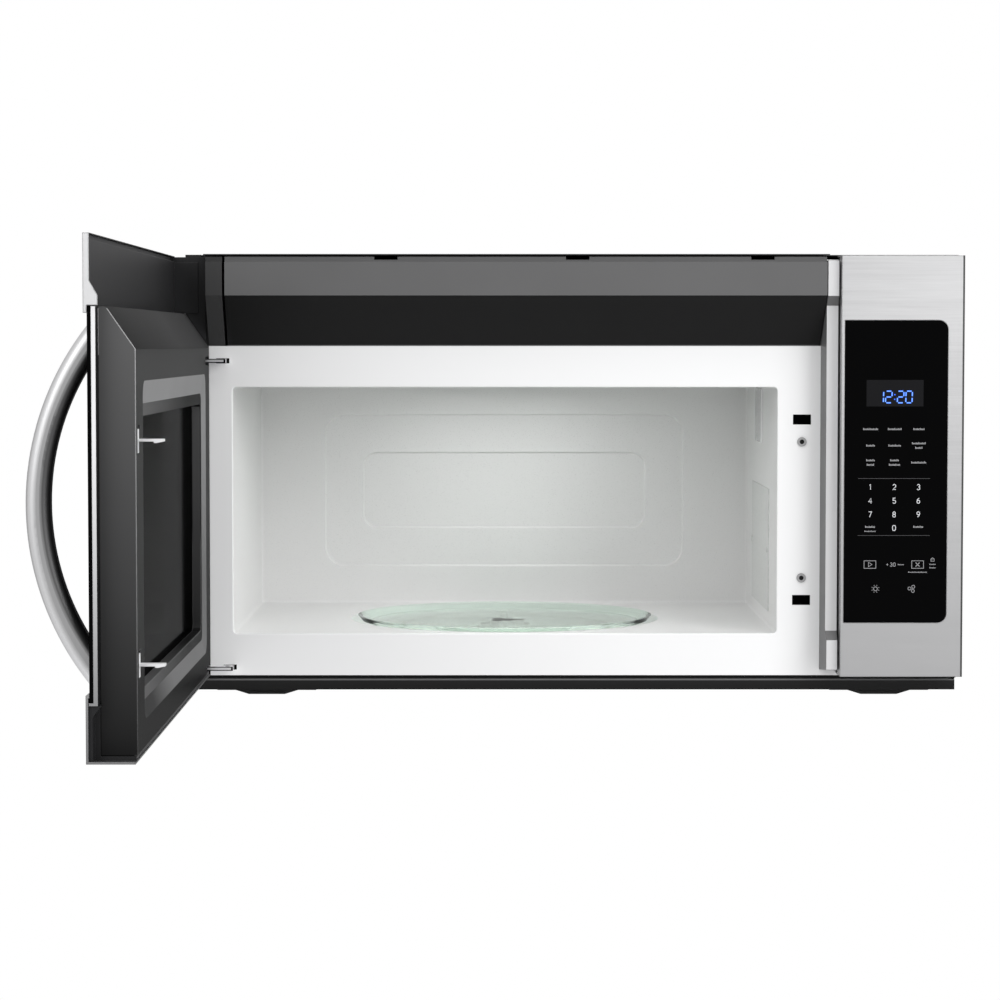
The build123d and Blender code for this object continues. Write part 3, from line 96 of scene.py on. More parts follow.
class Look:
    # one material; the words given with its name are set once on the shader's own sockets
    def __init__(self, name, **fixed):
        self.material = bpy.data.materials.new(name)
        self.material.use_nodes = True
        self.tree = self.material.node_tree
        self.shader = self.tree.nodes["Principled BSDF"]
        for words, value in fixed.items():
            self.set(words, value)

    def socketNamed(self, words):
        # "baseColor" is the socket called "Base Color"
        if words in oddNames:
            return self.shader.inputs[oddNames[words]]
        spaced = "".join(" " + c if c.isupper() else c for c in words)
        return self.shader.inputs[spaced[0].upper() + spaced[1:]]

    def set(self, words, value):
        self.feed(self.socketNamed(words), value)

    def feed(self, socket, value):
        if isinstance(value, Shade):
            self.tree.links.new(value.socket, socket)
        elif socket.type == "RGBA" and len(value) == 3:
            socket.default_value = (*value, 1.0)
        else:
            socket.default_value = value

    def add(self, kind, settings=None, inputs=None, output=0):
        node = self.tree.nodes.new(kind)
        for key, value in (settings or {}).items():
            setattr(node, key, value)
        for key, value in (inputs or {}).items():
            self.feed(node.inputs[key], value)
        return Shade(self, node.outputs[output])

    def place(self, stretch=(1, 1, 1), turn=(0, 0, 0)):
        # the piece's own coordinates in metres, stretched and turned
        at = self.add("ShaderNodeTexCoord", output="Object")
        return self.add("ShaderNodeMapping", None, {"Vector": at, "Scale": stretch, "Rotation": turn})

    def noise(self, scale, detail=2.0, rough=0.5, at=None):
        at = at or self.place()
        return self.add("ShaderNodeTexNoise", None,
                        {"Vector": at, "Scale": scale, "Detail": detail, "Roughness": rough})

    def mix(self, factor, a, b):
        node = self.tree.nodes.new("ShaderNodeMix")
        node.data_type = "RGBA"
        self.feed(node.inputs[0], factor)
        self.feed(node.inputs[6], a)
        self.feed(node.inputs[7], b)
        return Shade(self, node.outputs[2])

    def range(self, value, low, high):
        # spreads a 0 to 1 value between two others
        return value * (high - low) + low

    def alike(self, a, b):
        # 1 where two directions agree, 0 where they are square to each other, -1 where they oppose
        return self.add("ShaderNodeVectorMath", {"operation": "DOT_PRODUCT"}, {0: a, 1: b}, "Value")

    def facing(self, *direction):
        # 1 where the surface looks along a direction of the piece's own frame, -1 where it looks away
        return self.alike(self.add("ShaderNodeTexCoord", output="Normal"), direction)

    def along(self, axis, low, high):
        # 0 to 1 between two places on an axis of the piece's own frame, in metres
        return self.ramp(self.where(axis), low, high)

    def where(self, axis):
        at = self.add("ShaderNodeTexCoord", output="Object")
        return self.add("ShaderNodeSeparateXYZ", None, {"Vector": at}, axis.upper())

    def ramp(self, value, low, high):
        # 0 to 1 as a value goes from low to high
        return self.add("ShaderNodeMapRange", None, {"Value": value, "From Min": low, "From Max": high})

    def bump(self, height, distance, strength=1.0, edge=0.0):
        inputs = {"Height": height, "Distance": distance, "Strength": strength}
        if edge:
            inputs["Normal"] = self.add("ShaderNodeBevel", {"samples": 4}, {"Radius": edge})
        self.set("normal", self.add("ShaderNodeBump", None, inputs))

    def softEdges(self, radius):
        self.set("normal", self.add("ShaderNodeBevel", {"samples": 4}, {"Radius": radius}))

    def rim(self, radius, gain=5.0):
        # 1 along an edge and 0 on a flat: how far a rounded normal strays from the true one
        rounded = self.add("ShaderNodeBevel", {"samples": 6}, {"Radius": radius})
        flat = self.add("ShaderNodeNewGeometry", output="Normal")
        stray = (1.0 - self.alike(rounded, flat) - 0.02) * gain
        return self.add("ShaderNodeMath", {"operation": "MINIMUM"}, {0: stray, 1: 1.0})


def grey(value):
    # a trace cooler than neutral
    return (value, value, value * 1.01)


brushed = {
    "grain": 900.0, "grainStretch": 0.012, "streak": 240.0, "streakStretch": 0.06,
    "cloud": 5.0, "cloudStretch": 0.3,
    "lift": 0.02 * mm, "edge": 0.7 * mm, "rim": 1.8 * mm, "cut": 0.05, "cutDepth": 0.75, "fold": 0.1,
    "foldLine": (2.0 * mm, 1.7 * mm), "rough": (0.3, 0.44)}


def alongOnly(along, stretch):
    # how much to stretch a pattern that runs along one axis
    return tuple(stretch if axis == along else 1.0 for axis in "xyz")


def brushedSteel(name, along, light, dark, dim, fold=None):
    # long fine scratches along one axis, a slow change of tone, and painted shade along the edges;
    # dim gives two heights between which the sheet falls into shade, and how deep the shade is;
    # fold is the place across the sheet where it turns back, with a line of painted shade beside it
    look = Look(name, metallic=1.0)
    scratch = look.noise(brushed["grain"], 3.0, 0.65, look.place(alongOnly(along, brushed["grainStretch"])))
    streak = look.noise(brushed["streak"], 3.0, 0.6, look.place(alongOnly(along, brushed["streakStretch"])))
    cloud = look.noise(brushed["cloud"], 2.0, 0.5, look.place(alongOnly(along, brushed["cloudStretch"])))
    tone = look.mix(scratch * 0.45 + streak * 0.35 + cloud * 0.2, grey(dark), grey(light))
    low, high, deep = dim
    tone = look.mix(look.along("z", low, high), grey(deep), tone)
    # painted shade along the sheet's edges
    tone = look.mix(look.rim(brushed["rim"]) * brushed["cutDepth"], tone, grey(brushed["cut"]))
    # a line of painted shade just inside the fold
    if fold:
        outer, inner = brushed["foldLine"]
        tone = look.mix(look.along("x", fold - outer, fold - inner), tone, grey(brushed["fold"]))
    look.set("baseColor", tone)
    look.set("roughness", look.range(scratch, *brushed["rough"]))
    look.bump(scratch, brushed["lift"], 0.5, brushed["edge"])
    return look.material


paint = {"fleck": 1400.0, "fleckTone": 0.55, "fleckDepth": 0.5, "peel": 260.0, "cloud": 7.0, "edge": 0.6 * mm}


def paintedSteel(name, colour, shade, rough, lift, specks=0.0):
    # sprayed paint: orange peel, a little dirt in the tone, and where asked a scatter of specks
    look = Look(name)
    peel = look.noise(paint["peel"], 2.0)
    base = look.mix(look.noise(paint["cloud"], 3.0), shade, colour)
    if specks:
        dots = look.noise(paint["fleck"], 1.0) > 1.0 - specks
        base = look.mix(dots * paint["fleckDepth"], base, tuple(c * paint["fleckTone"] for c in colour))
    look.set("baseColor", base)
    look.set("roughness", look.range(peel, rough - 0.05, rough + 0.07))
    look.bump(peel, lift, 0.5, paint["edge"])
    return look.material


plastic = {"grain": 1800.0, "flow": 9.0, "edge": 0.8 * mm, "shade": 0.86, "light": 1.1, "shellShade": 0.14}


def mouldedPlastic(name, colour, rough, lift=0.02 * mm, shine=0.5):
    # fine spark-eroded grain and a slow flow mark in the tone
    look = Look(name, shine=shine)
    grain = look.noise(plastic["grain"], 2.0, 0.6)
    shade, light = (tuple(c * plastic[key] for c in colour) for key in ("shade", "light"))
    look.set("baseColor", look.mix(look.noise(plastic["flow"], 3.0), shade, light))
    look.set("roughness", look.range(grain, rough - 0.04, rough + 0.08))
    look.bump(grain, lift, 0.4, plastic["edge"])
    return look.material


def plasticShell(look, tone, rough, edge=0.8 * mm):
    # the same fine grain on a tone worked out elsewhere
    grain = look.noise(plastic["grain"], 2.0, 0.6)
    look.set("baseColor", look.mix(look.noise(plastic["flow"], 3.0) * plastic["shellShade"], tone, grey(0.0)))
    look.set("roughness", look.range(grain, rough - 0.04, rough + 0.08))
    look.bump(grain, 0.01 * mm, 0.4, edge)
    return look.material


grille = {"left": 0.135, "right": 0.14, "from": -350 * mm, "to": -100 * mm, "slope": 0.009, "post": 0.045}


def grillePlastic(name):
    # satin on the upright fascia, and painted shade, near black, on the slope that looks down
    look = Look(name, shine=0.12)
    across = look.along("x", grille["from"], grille["to"])
    fascia = look.mix(across, grey(grille["left"]), grey(grille["right"]))
    # painted shade on the faces that look down
    down = look.ramp(look.facing(0, 0, -1), 0.35, 0.5)
    return plasticShell(look, look.mix(down, fascia, grey(grille["slope"])), 0.34)


strip = {"front": 0.7, "side": 0.15, "slope": 0.13}


def stripPlastic(name):
    # pale on the front of the stepped strip, with painted shade on its side and on the two short slopes
    look = Look(name, shine=0.3)
    upward = look.facing(0, 0, 1)
    slant = look.ramp(upward * upward, 0.05, 0.15)
    side = look.ramp(look.facing(-1, 0, 0), 0.4, 0.6)
    tone = look.mix(slant, grey(strip["front"]), grey(strip["slope"]))
    return plasticShell(look, look.mix(side, tone, grey(strip["side"])), 0.34)


# tones of painted light and shade on the inner frame, then the places they change at: heights, and runs from
# the door's free end or from the face that meets the oven
moulding = {
    "endTop": 0.12, "endFoot": 0.014, "faceTop": 0.05, "faceFoot": 0.002,
    "slopeNear": 0.012, "slopeFar": 0.058, "ledgeNear": 0.11, "ledgeFar": 0.012,
    "bevelTop": 0.28, "bevelFoot": 0.17, "bevelDark": 0.03, "bevelLit": 0.45,
    "litTop": 0.8, "litFoot": 0.1, "dark": 0.004, "line": 0.15, "rim": 1.8 * mm, "edge": 1.2 * mm,
    "whole": (-200 * mm, 150 * mm), "bevelHeight": (-100 * mm, 50 * mm), "lineHeight": (-70 * mm, -50 * mm),
    "slopeHeight": (119 * mm, 121 * mm), "topHeight": (156.5 * mm, 157 * mm),
    "slopeRun": (0.0, 360 * mm), "bevelRun": (126 * mm, 286 * mm), "ledgeRun": (86 * mm, 436 * mm),
    "lineRun": (3.5 * mm, 4.5 * mm), "recess": (-2.8 * mm, -2.1 * mm), "innerEdge": (-3.6 * mm, -2.1 * mm)}


def mouldedFrame(name):
    # the door's inner frame: its end, its face, the slope at the top and the bevel and ledge of the
    # recess each get a tone of painted light and shade, with a painted highlight line at the free end and
    # lines of painted shade along the other edges
    look = Look(name, shine=0.012)
    low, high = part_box("door_inner_frame")

    def between(key, axis="z", start=0.0):
        return look.along(axis, *(start + place for place in moulding[key]))

    def tones(factor, first, second):
        return look.mix(factor, grey(moulding[first]), grey(moulding[second]))

    up = between("whole")
    inward = look.facing(1, 0, 0)
    bevel = look.mix(between("bevelHeight"), tones(between("bevelRun", "y", low.y), "bevelDark", "bevelFoot"),
                     grey(moulding["bevelTop"]))
    # painted highlight on the bevel where it looks along the piece's y
    bevel = look.mix(look.facing(0, 1, 0) > 0.2, bevel, grey(moulding["bevelLit"]))
    tone = look.mix(1.0 - between("recess", "x", high.x), tones(up, "faceFoot", "faceTop"),
                    tones(between("ledgeRun", "y", low.y), "ledgeNear", "ledgeFar"))
    tone = look.mix((inward > 0.93) * (inward < 0.992), tone, bevel)
    tone = look.mix((inward > 0.7) * (inward < 0.9) * (look.facing(0, 0, 1) > 0.4), tone,
                    tones(between("slopeRun", "y", low.y), "slopeNear", "slopeFar"))
    tone = look.mix(look.facing(0, -1, 0) > 0.7, tone, tones(up, "endFoot", "endTop"))
    # the painted highlight line runs up the free end's inner edge and on up the slope
    nearEnd = 1.0 - between("lineRun", "y", low.y)
    inner = look.ramp(between("innerEdge", "x", high.x) + between("slopeHeight"), 0.4, 0.6)
    below = 1.0 - between("topHeight")
    # the edges are lines of painted shade, with a paler painted highlight along those low down
    dark = look.mix(nearEnd, tones(1.0 - between("lineHeight"), "dark", "line"), grey(moulding["dark"]))
    edge = look.mix(nearEnd * inner * below, dark, tones(up, "litFoot", "litTop"))
    return plasticShell(look, look.mix(look.rim(moulding["rim"]), tone, edge), 0.42, moulding["edge"])


folded = {"edgeTop": 0.9, "edgeFoot": 0.3, "height": (-150 * mm, 50 * mm), "back": 0.012, "inner": 0.6}


def foldedPanel(name):
    # pale end at the door's free end with painted shade toward its foot, and painted shade, near black, on
    # the side toward the oven
    look = Look(name, shine=0.05)
    rimLight = look.mix(look.along("z", *folded["height"]), grey(folded["edgeFoot"]), grey(folded["edgeTop"]))
    side = look.mix(look.facing(0, -1, 0) > 0.5, grey(folded["inner"]), rimLight)
    tone = look.mix(look.facing(1, 0, 0) > 0.5, side, grey(folded["back"]))
    return plasticShell(look, tone, 0.45)


grip = {"lit": 0.88, "shade": 0.1, "crown": 0.4, "scratch": 0.15, "scratchTone": 0.2}


def turnedSteel(name):
    # satin steel with a painted highlight on its outer side, painted shade a little on the crown and dark
    # toward the door
    look = Look(name, metallic=1.0)
    scratch = look.noise(brushed["grain"], 3.0, 0.65, look.place(alongOnly("z", brushed["grainStretch"])))
    outward = look.facing(-1, 0, 0)
    tone = look.mix(look.ramp(outward, -0.3, 0.4), grey(grip["shade"]), grey(grip["lit"]))
    tone = look.mix(look.ramp(outward, 0.7, 1.0), tone, grey(grip["crown"]))
    look.set("baseColor", look.mix(scratch * grip["scratch"], tone, grey(grip["scratchTone"])))
    look.set("roughness", look.range(scratch, 0.42, 0.5))
    look.bump(scratch, 0.01 * mm, 0.3)
    return look.material


lip = {
    "foot": -217 * mm, "top": -206.8 * mm, "faceTop": 0.012, "faceFoot": 0.005, "rest": 0.012,
    "line": 0.16, "lineHeight": (-1.2 * mm, -0.4 * mm), "behind": 0.002, "behindHeight": (0.4 * mm, 0.8 * mm)}


def basePaint(name):
    # dark enamel, with a painted highlight along the lip's folded top edge, painted shade in the gap above
    # it, and painted shade toward the lip's foot
    look = Look(name, shine=0.2)
    peel = look.noise(paint["peel"], 2.0)
    face = look.mix(look.along("z", lip["foot"], lip["top"]), grey(lip["faceFoot"]), grey(lip["faceTop"]))
    for key, tone in (("lineHeight", lip["line"]), ("behindHeight", lip["behind"])):
        face = look.mix(look.along("z", *(lip["top"] + place for place in lip[key])), face, grey(tone))
    look.set("baseColor", look.mix(look.facing(0, -1, 0) > 0.8, grey(lip["rest"]), face))
    look.set("roughness", look.range(peel, 0.3, 0.42))
    look.bump(peel, 0.03 * mm, 0.5, paint["edge"])
    return look.material


arm = {
    "lit": 0.95, "edge": 0.006, "half": 1.1 * mm, "tongue": 8 * mm,
    "upperRise": 12 * mm, "lowerRise": 5 * mm}


def armSteel(name, node, rise):
    # plated strip whose narrow side has painted shade along its edges and its end, leaving a bright stripe
    # along its middle;
    # rise is how high the strip's middle stands over the foot of the arm
    look = Look(name, metallic=1.0)
    low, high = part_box(node)
    middle, tip = low.z + arm[rise], high.x - arm["tongue"]
    scratch = look.noise(brushed["grain"], 3.0, 0.65, look.place(alongOnly("x", brushed["grainStretch"])))
    height = look.where("z")
    band = (height > middle - arm["half"]) * (height < middle + arm["half"])
    band = band * (1.0 - look.along("x", tip, tip + 0.2 * mm))
    side = look.facing(0, -1, 0) > 0.5
    look.set("baseColor", look.mix(side * (1.0 - band), grey(arm["lit"]), grey(arm["edge"])))
    look.set("roughness", look.range(scratch, 0.3, 0.4))
    look.bump(scratch, 0.01 * mm, 0.3, 0.4 * mm)
    return look.material


cover = {"rim": 0.94, "face": 0.66}


def lampCover(name):
    # frosted cover, with a painted highlight along the narrow side that looks out of the oven
    look = Look(name, shine=0.3)
    outward = look.facing(0, -1, 0) > 0.4
    return plasticShell(look, look.mix(outward, grey(cover["face"]), grey(cover["rim"])), 0.24)


seat = {"ring": 0.4, "hole": 0.004, "mouth": (0.3 * mm, 0.5 * mm)}


def screwSeat(name):
    # a plain ring, with painted shade down in its hole
    look = Look(name, shine=0.2)
    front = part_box("latch_screws")[0].y
    deep = look.along("y", *(front + depth for depth in seat["mouth"]))
    return plasticShell(look, look.mix(deep, grey(seat["ring"]), grey(seat["hole"])), 0.4)


zinc = {"crystal": 130.0, "fine": 900.0}


def crystals(look, scale):
    # one flat random tone in each cell
    cell = look.add("ShaderNodeTexVoronoi", {"feature": "F1"},
                    {"Vector": look.place(), "Scale": scale}, "Color")
    return look.add("ShaderNodeSeparateColor", None, {"Color": cell})


def galvanisedSteel(name, light, dark):
    # spangle of zinc crystals
    look = Look(name, metallic=1.0)
    tone = crystals(look, zinc["crystal"])
    fine = look.noise(zinc["fine"], 2.0)
    look.set("baseColor", look.mix(tone * 0.7 + fine * 0.3, dark, light))
    look.set("roughness", look.range(tone, 0.3, 0.48))
    look.bump(fine, 0.02 * mm, 0.4, 0.4 * mm)
    return look.material


def darkGlass(name, colour, rough, shine):
    # black behind the gloss, with faint wiping marks
    look = Look(name, shine=shine)
    smear = look.noise(11.0, 3.0)
    look.set("baseColor", look.mix(smear, colour, tuple(c * 1.4 for c in colour)))
    look.set("roughness", look.range(smear, rough, rough + 0.05))
    look.bump(look.noise(60.0, 1.0), 0.005 * mm, 0.2, 0.5 * mm)
    return look.material


def clearGlass(name, colour, rough, bending=1.47, shine=0.5):
    # slightly wavy, and clear or tinted all through
    look = Look(name, transmissionWeight=1.0, bending=bending, shine=shine)
    wave = look.noise(24.0, 2.0)
    look.set("baseColor", look.mix(wave, colour, tuple(min(1.0, c * 1.03) for c in colour)))
    look.set("roughness", look.range(wave, rough, rough + 0.03))
    look.bump(wave, 0.04 * mm, 0.3)
    return look.material


screen = {"pitch": 1.6 * mm, "hole": 0.31, "sheet": 0.014, "through": 0.003}


def perforatedScreen(name):
    # rows of round holes in black enamelled sheet, seen through the window
    look = Look(name, roughness=0.5, shine=0.0)
    size = 1.0 / screen["pitch"]
    at = look.place((size, size, size))
    cell = look.add("ShaderNodeTexVoronoi", {"feature": "F1"},
                    {"Vector": at, "Scale": 1.0, "Randomness": 0.0}, "Distance")
    look.set("baseColor", look.mix(cell < screen["hole"], grey(screen["sheet"]), grey(screen["through"])))
    return look.material


mesh = {"pitch": 4.5 * mm, "wire": 0.13, "slant": 0.7}


def filterMesh(name):
    # layers of expanded aluminium mesh
    look = Look(name, metallic=1.0)
    size = 1.0 / mesh["pitch"]
    cell = look.add("ShaderNodeTexVoronoi", {"feature": "DISTANCE_TO_EDGE", "voronoi_dimensions": "2D"},
                    {"Vector": look.place((size * mesh["slant"], size, size)), "Scale": 1.0,
                     "Randomness": 0.3}, "Distance")
    wire = cell < mesh["wire"]
    look.set("baseColor", look.mix(wire, (0.05, 0.05, 0.05), (0.62, 0.63, 0.64)))
    look.set("roughness", look.range(wire, 0.6, 0.34))
    look.bump(wire, 0.5 * mm, 0.8)
    return look.material


def circuitBoard(name):
    # green lacquer with paler copper tracks under it
    look = Look(name)
    track = look.add("ShaderNodeTexBrick", None,
                     {"Vector": look.place((60, 60, 60), (radians(90), 0, 0)), "Scale": 3.0})
    bare = look.add("ShaderNodeSeparateColor", None, {"Color": track})
    look.set("baseColor", look.mix(bare, (0.02, 0.11, 0.05), (0.06, 0.2, 0.09)))
    look.set("roughness", look.range(bare, 0.35, 0.5))
    return look.material


def micaSheet(name):
    # pressed flakes
    look = Look(name)
    tone = crystals(look, 420.0)
    look.set("baseColor", look.mix(tone, (0.62, 0.63, 0.62), (0.72, 0.73, 0.72)))
    look.set("roughness", look.range(tone, 0.38, 0.55))
    look.softEdges(0.6 * mm)
    return look.material


def charcoalPack(name):
    # round black grains
    look = Look(name, roughness=0.9)
    grain = look.add("ShaderNodeTexVoronoi", {"feature": "F1"},
                     {"Vector": look.place(), "Scale": 450.0}, "Distance")
    look.set("baseColor", look.mix(grain, (0.05, 0.05, 0.05), (0.008, 0.008, 0.008)))
    look.bump(grain, 0.8 * mm, 0.8)
    return look.material


def glowing(name, colour, strength):
    # a lit stroke of the clock
    look = Look(name, baseColor=(0.0, 0.0, 0.0), emissionStrength=strength)
    flicker = look.noise(300.0, 1.0)
    look.set("emissionColor", look.mix(flicker, tuple(c * 0.85 for c in colour), colour))
    return look.material


def printedInk(name, colour):
    # matt screen-printed ink
    look = Look(name, shine=0.2)
    grain = look.noise(2500.0, 1.0)
    look.set("baseColor", look.mix(grain, tuple(c * 0.9 for c in colour), colour))
    look.set("roughness", look.range(grain, 0.45, 0.6))
    return look.material


finishes = {
    "steelAcross": brushedSteel("steelAcross", "x", 0.87, 0.58, (-0.2, 0.15, 0.54),
                                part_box("control_bezel")[1].x),
    "steelDoor": brushedSteel("steelDoor", "y", 0.95, 0.77, (-0.21, 0.02, 0.3)),
    "steelHandle": turnedSteel("steelHandle"),
    "steelArmHigh": armSteel("steelArmHigh", "hinge_arm_upper", "upperRise"),
    "steelArmLow": armSteel("steelArmLow", "hinge_arm_lower", "lowerRise"),
    "casePaint": paintedSteel("casePaint", (0.028, 0.029, 0.031), (0.02, 0.021, 0.022), 0.42, 0.04 * mm),
    "basePaint": basePaint("basePaint"),
    "whiteEnamel": paintedSteel("whiteEnamel", (0.93, 0.932, 0.935), (0.91, 0.912, 0.915), 0.22, 0.012 * mm),
    "cavityEnamel": paintedSteel("cavityEnamel", (0.834, 0.834, 0.83), (0.794, 0.794, 0.79), 0.3,
                                 0.03 * mm, specks=0.3),
    "foldedPanel": foldedPanel("foldedPanel"),
    "frostedCover": lampCover("frostedCover"),
    "ventPlastic": grillePlastic("ventPlastic"),
    "postPlastic": mouldedPlastic("postPlastic", grey(grille["post"]), 0.4, 0.01 * mm, 0.1),
    "trimPlastic": stripPlastic("trimPlastic"),
    "framePlastic": mouldedFrame("framePlastic"),
    "darkPlastic": mouldedPlastic("darkPlastic", (0.02, 0.02, 0.021), 0.42, shine=0.15),
    # near black past the plastic's own colour: painted shade inside the latch slots
    "channelPlasticShade": mouldedPlastic("channelPlasticShade", grey(0.003), 0.5, 0.01 * mm, 0.05),
    "latchPlastic": mouldedPlastic("latchPlastic", (0.8, 0.8, 0.81), 0.4),
    "screwSeat": screwSeat("screwSeat"),
    "whitePlastic": mouldedPlastic("whitePlastic", (0.78, 0.78, 0.76), 0.4),
    "bareSteel": galvanisedSteel("bareSteel", (0.62, 0.63, 0.64), (0.42, 0.43, 0.45)),
    "castAluminium": galvanisedSteel("castAluminium", (0.72, 0.72, 0.73), (0.6, 0.6, 0.61)),
    "blackGlass": darkGlass("blackGlass", (0.0012, 0.0012, 0.0013), 0.06, 0.03),
    "windowGlass": clearGlass("windowGlass", (0.12, 0.12, 0.122), 0.05, 1.01, 0.01),
    "trayGlass": clearGlass("trayGlass", (0.86, 0.94, 0.89), 0.05, 1.06, 0.4),
    "lampGlass": clearGlass("lampGlass", (0.9, 0.93, 0.92), 0.25),
    "smokedLens": clearGlass("smokedLens", (0.03, 0.03, 0.031), 0.3, 1.3, 0.3),
    "doorScreen": perforatedScreen("doorScreen"),
    "filterMesh": filterMesh("filterMesh"),
    "circuitBoard": circuitBoard("circuitBoard"),
    "micaSheet": micaSheet("micaSheet"),
    "charcoalPack": charcoalPack("charcoalPack"),
    "displayBlue": glowing("displayBlue", (0.03, 0.14, 1.0), 1.6),
    "displayCore": glowing("displayCore", (0.22, 0.5, 1.0), 1.6),
    "displayGround": darkGlass("displayGround", (0.009, 0.009, 0.01), 0.12, 0.06),
    "panelInk": printedInk("panelInk", (0.72, 0.73, 0.75)),
    "panelSoft": printedInk("panelSoft", (0.36, 0.36, 0.37)),
    "panelFaint": printedInk("panelFaint", (0.09, 0.09, 0.093)),
}
print("finishes made")

slotFinish = {
    "case_paint": "casePaint", "base_paint": "basePaint", "white_paint": "whiteEnamel",
    "cavity_paint": "cavityEnamel", "brushed_stainless": "steelDoor", "bare_steel": "bareSteel",
    "screen_steel": "doorScreen", "filter_mesh": "filterMesh", "cast_aluminium": "castAluminium",
    "vent_plastic": "ventPlastic", "trim_plastic": "trimPlastic", "frame_plastic": "framePlastic",
    "dark_plastic": "darkPlastic", "latch_plastic": "latchPlastic", "white_plastic": "whitePlastic",
    "charcoal": "charcoalPack", "display": "displayGround", "circuit_board": "circuitBoard",
    "mica_sheet": "micaSheet", "black_glass": "blackGlass", "window_glass": "windowGlass",
    "lamp_glass": "lampGlass", "smoked_lens": "smokedLens", "tray_glass": "trayGlass",
}
# nodes whose finish differs from their slot's
nodeFinish = {
    "control_bezel": "steelAcross", "handle_bar": "steelHandle", "door_panel": "foldedPanel",
    "cavity_lamp": "frostedCover", "vent_end_post": "postPlastic", "hinge_arm_upper": "steelArmHigh",
    "hinge_arm_lower": "steelArmLow", "latch_receiver": "channelPlasticShade", "latch_screws": "screwSeat"}
for part in frame["record"]["subparts"]:
    node = nodes[part["node"]]
    finish = nodeFinish.get(part["node"], slotFinish[part["material_slot"]])
    node.data.materials.clear()
    node.data.materials.append(finishes[finish])
print("nodes painted")


def makePiece(name, bm, finish, body, smooth=False):
    data = bpy.data.meshes.new(name)
    bmesh.ops.recalc_face_normals(bm, faces=bm.faces)
    bm.to_mesh(data)
    bm.free()
    data.materials.append(finishes[finish])
    for face in data.polygons:
        face.use_smooth = smooth
    piece = bpy.data.objects.new(name, data)
    bpy.context.collection.objects.link(piece)
    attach(piece, body)
    return piece


# the print lies on the panel glass: x is the frame's, heights are over the case's foot, both in mm
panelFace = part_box("panel_glass")[0].y
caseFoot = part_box("back_plate")[0].z
printThick = 0.06 * mm


def ribbon(bm, points, wide, thick=printThick, lift=0.0):
    # a raised line of even width through (x, height) points, mitred at each bend;
    # it closes on itself if it ends at its start
    face = panelFace - lift * mm
    closed = points[0] == points[-1]
    route = [Vector(p) for p in (points[:-1] if closed else points)]
    count = len(route)
    rails = []
    for n, here in enumerate(route):
        before = route[n - 1] if n or closed else None
        after = route[(n + 1) % count] if n < count - 1 or closed else None
        runs = [(here - before).normalized()] if before is not None else []
        runs += [(after - here).normalized()] if after is not None else []
        normals = [Vector((-r.y, r.x)) for r in runs]
        side = sum(normals, Vector((0, 0)))
        # the mitre's length, held back at a sharp bend
        side *= len(normals) / max(side.length_squared, 0.6 * len(normals))
        rails.append((here + side * wide / 2, here - side * wide / 2))
    ends = [[bm.verts.new((p.x * mm, face - deep, caseFoot + p.y * mm))
             for p in pair for deep in (thick, 0.0)] for pair in rails]
    for n in range(count if closed else count - 1):
        a, b = ends[n], ends[(n + 1) % count]
        for k in ((0, 2), (2, 3), (3, 1), (1, 0)):
            bm.faces.new((a[k[0]], a[k[1]], b[k[1]], b[k[0]]))
    if not closed:
        for end in (ends[0], ends[-1]):
            bm.faces.new((end[0], end[2], end[3], end[1]))


def bar(bm, x, height, wide, tall, thick=printThick):
    ribbon(bm, [(x - wide / 2, height), (x + wide / 2, height)], tall, thick)


marks = {"pitch": 1.25, "stroke": 0.8, "talls": (1.0, 0.7, 0.7, 0.85, 0.7)}


def blocks(bm, x, height, wide, tall):
    # a row of small plain blocks that stands where the panel has a word
    count = max(2, int(wide / marks["pitch"]))
    for n in range(count):
        size = tall * marks["talls"][n % len(marks["talls"])]
        place = x + (n - (count - 1) / 2) * marks["pitch"]
        bar(bm, place, height - tall / 2 + size / 2, marks["stroke"], size)


def arc(x, height, radius, start, end, steps=10, squeeze=1.0):
    return [(x + radius * cos(radians(start + (end - start) * n / steps)) * squeeze,
             height + radius * sin(radians(start + (end - start) * n / steps))) for n in range(steps + 1)]


# numerals on a unit cell: x from -0.5 to 0.5, height from 0 to 1.6
numerals = {
    "0": [arc(0, 1.1, 0.5, 0, 180) + arc(0, 0.5, 0.5, 180, 360) + [(0.5, 1.1)]],
    "1": [[(-0.25, 1.3), (0.1, 1.6), (0.1, 0.0)]],
    "2": [arc(0, 1.12, 0.48, 165, -30) + [(-0.48, 0.06), (0.5, 0.06)]],
    "3": [arc(0, 1.18, 0.42, 160, -90), arc(0, 0.42, 0.46, 90, -160)],
    "4": [[(0.28, 0.0), (0.28, 1.6), (-0.5, 0.48), (0.55, 0.48)]],
    "5": [[(0.42, 1.6), (-0.35, 1.6), (-0.4, 0.88)] + arc(0, 0.48, 0.5, 125, -150)],
    "6": [arc(0, 0.47, 0.47, 0, 360), [(-0.47, 0.5), (-0.3, 1.15), (0.25, 1.6)]],
    "7": [[(-0.48, 1.6), (0.48, 1.6), (-0.15, 0.0)]],
    "8": [arc(0, 1.2, 0.4, 0, 360), arc(0, 0.42, 0.46, 0, 360)],
    "9": [arc(0, 1.13, 0.47, 0, 360), [(0.47, 1.1), (0.3, 0.45), (-0.25, 0.0)]],
    "+": [[(-0.45, 0.8), (0.45, 0.8)], [(0, 0.35), (0, 1.25)]],
}


narrow = 0.92
strokeLift = 0.015  # each stroke of a numeral lies a little over the one before


def numeral(bm, sign, x, height, tall, wide):
    unit = tall / 1.6
    for n, line in enumerate(numerals[sign]):
        # rounded, so that a ring's first and last points are the same
        points = [(round(x + px * unit * narrow, 4), round(height - tall / 2 + pz * unit, 4))
                  for px, pz in line]
        ribbon(bm, points, wide, lift=strokeLift * n)


keypad = {"columns": (288.0, 311.7, 335.5), "rows": (205.0, 191.5, 178.0, 164.6), "tall": 5.2, "line": 0.68}
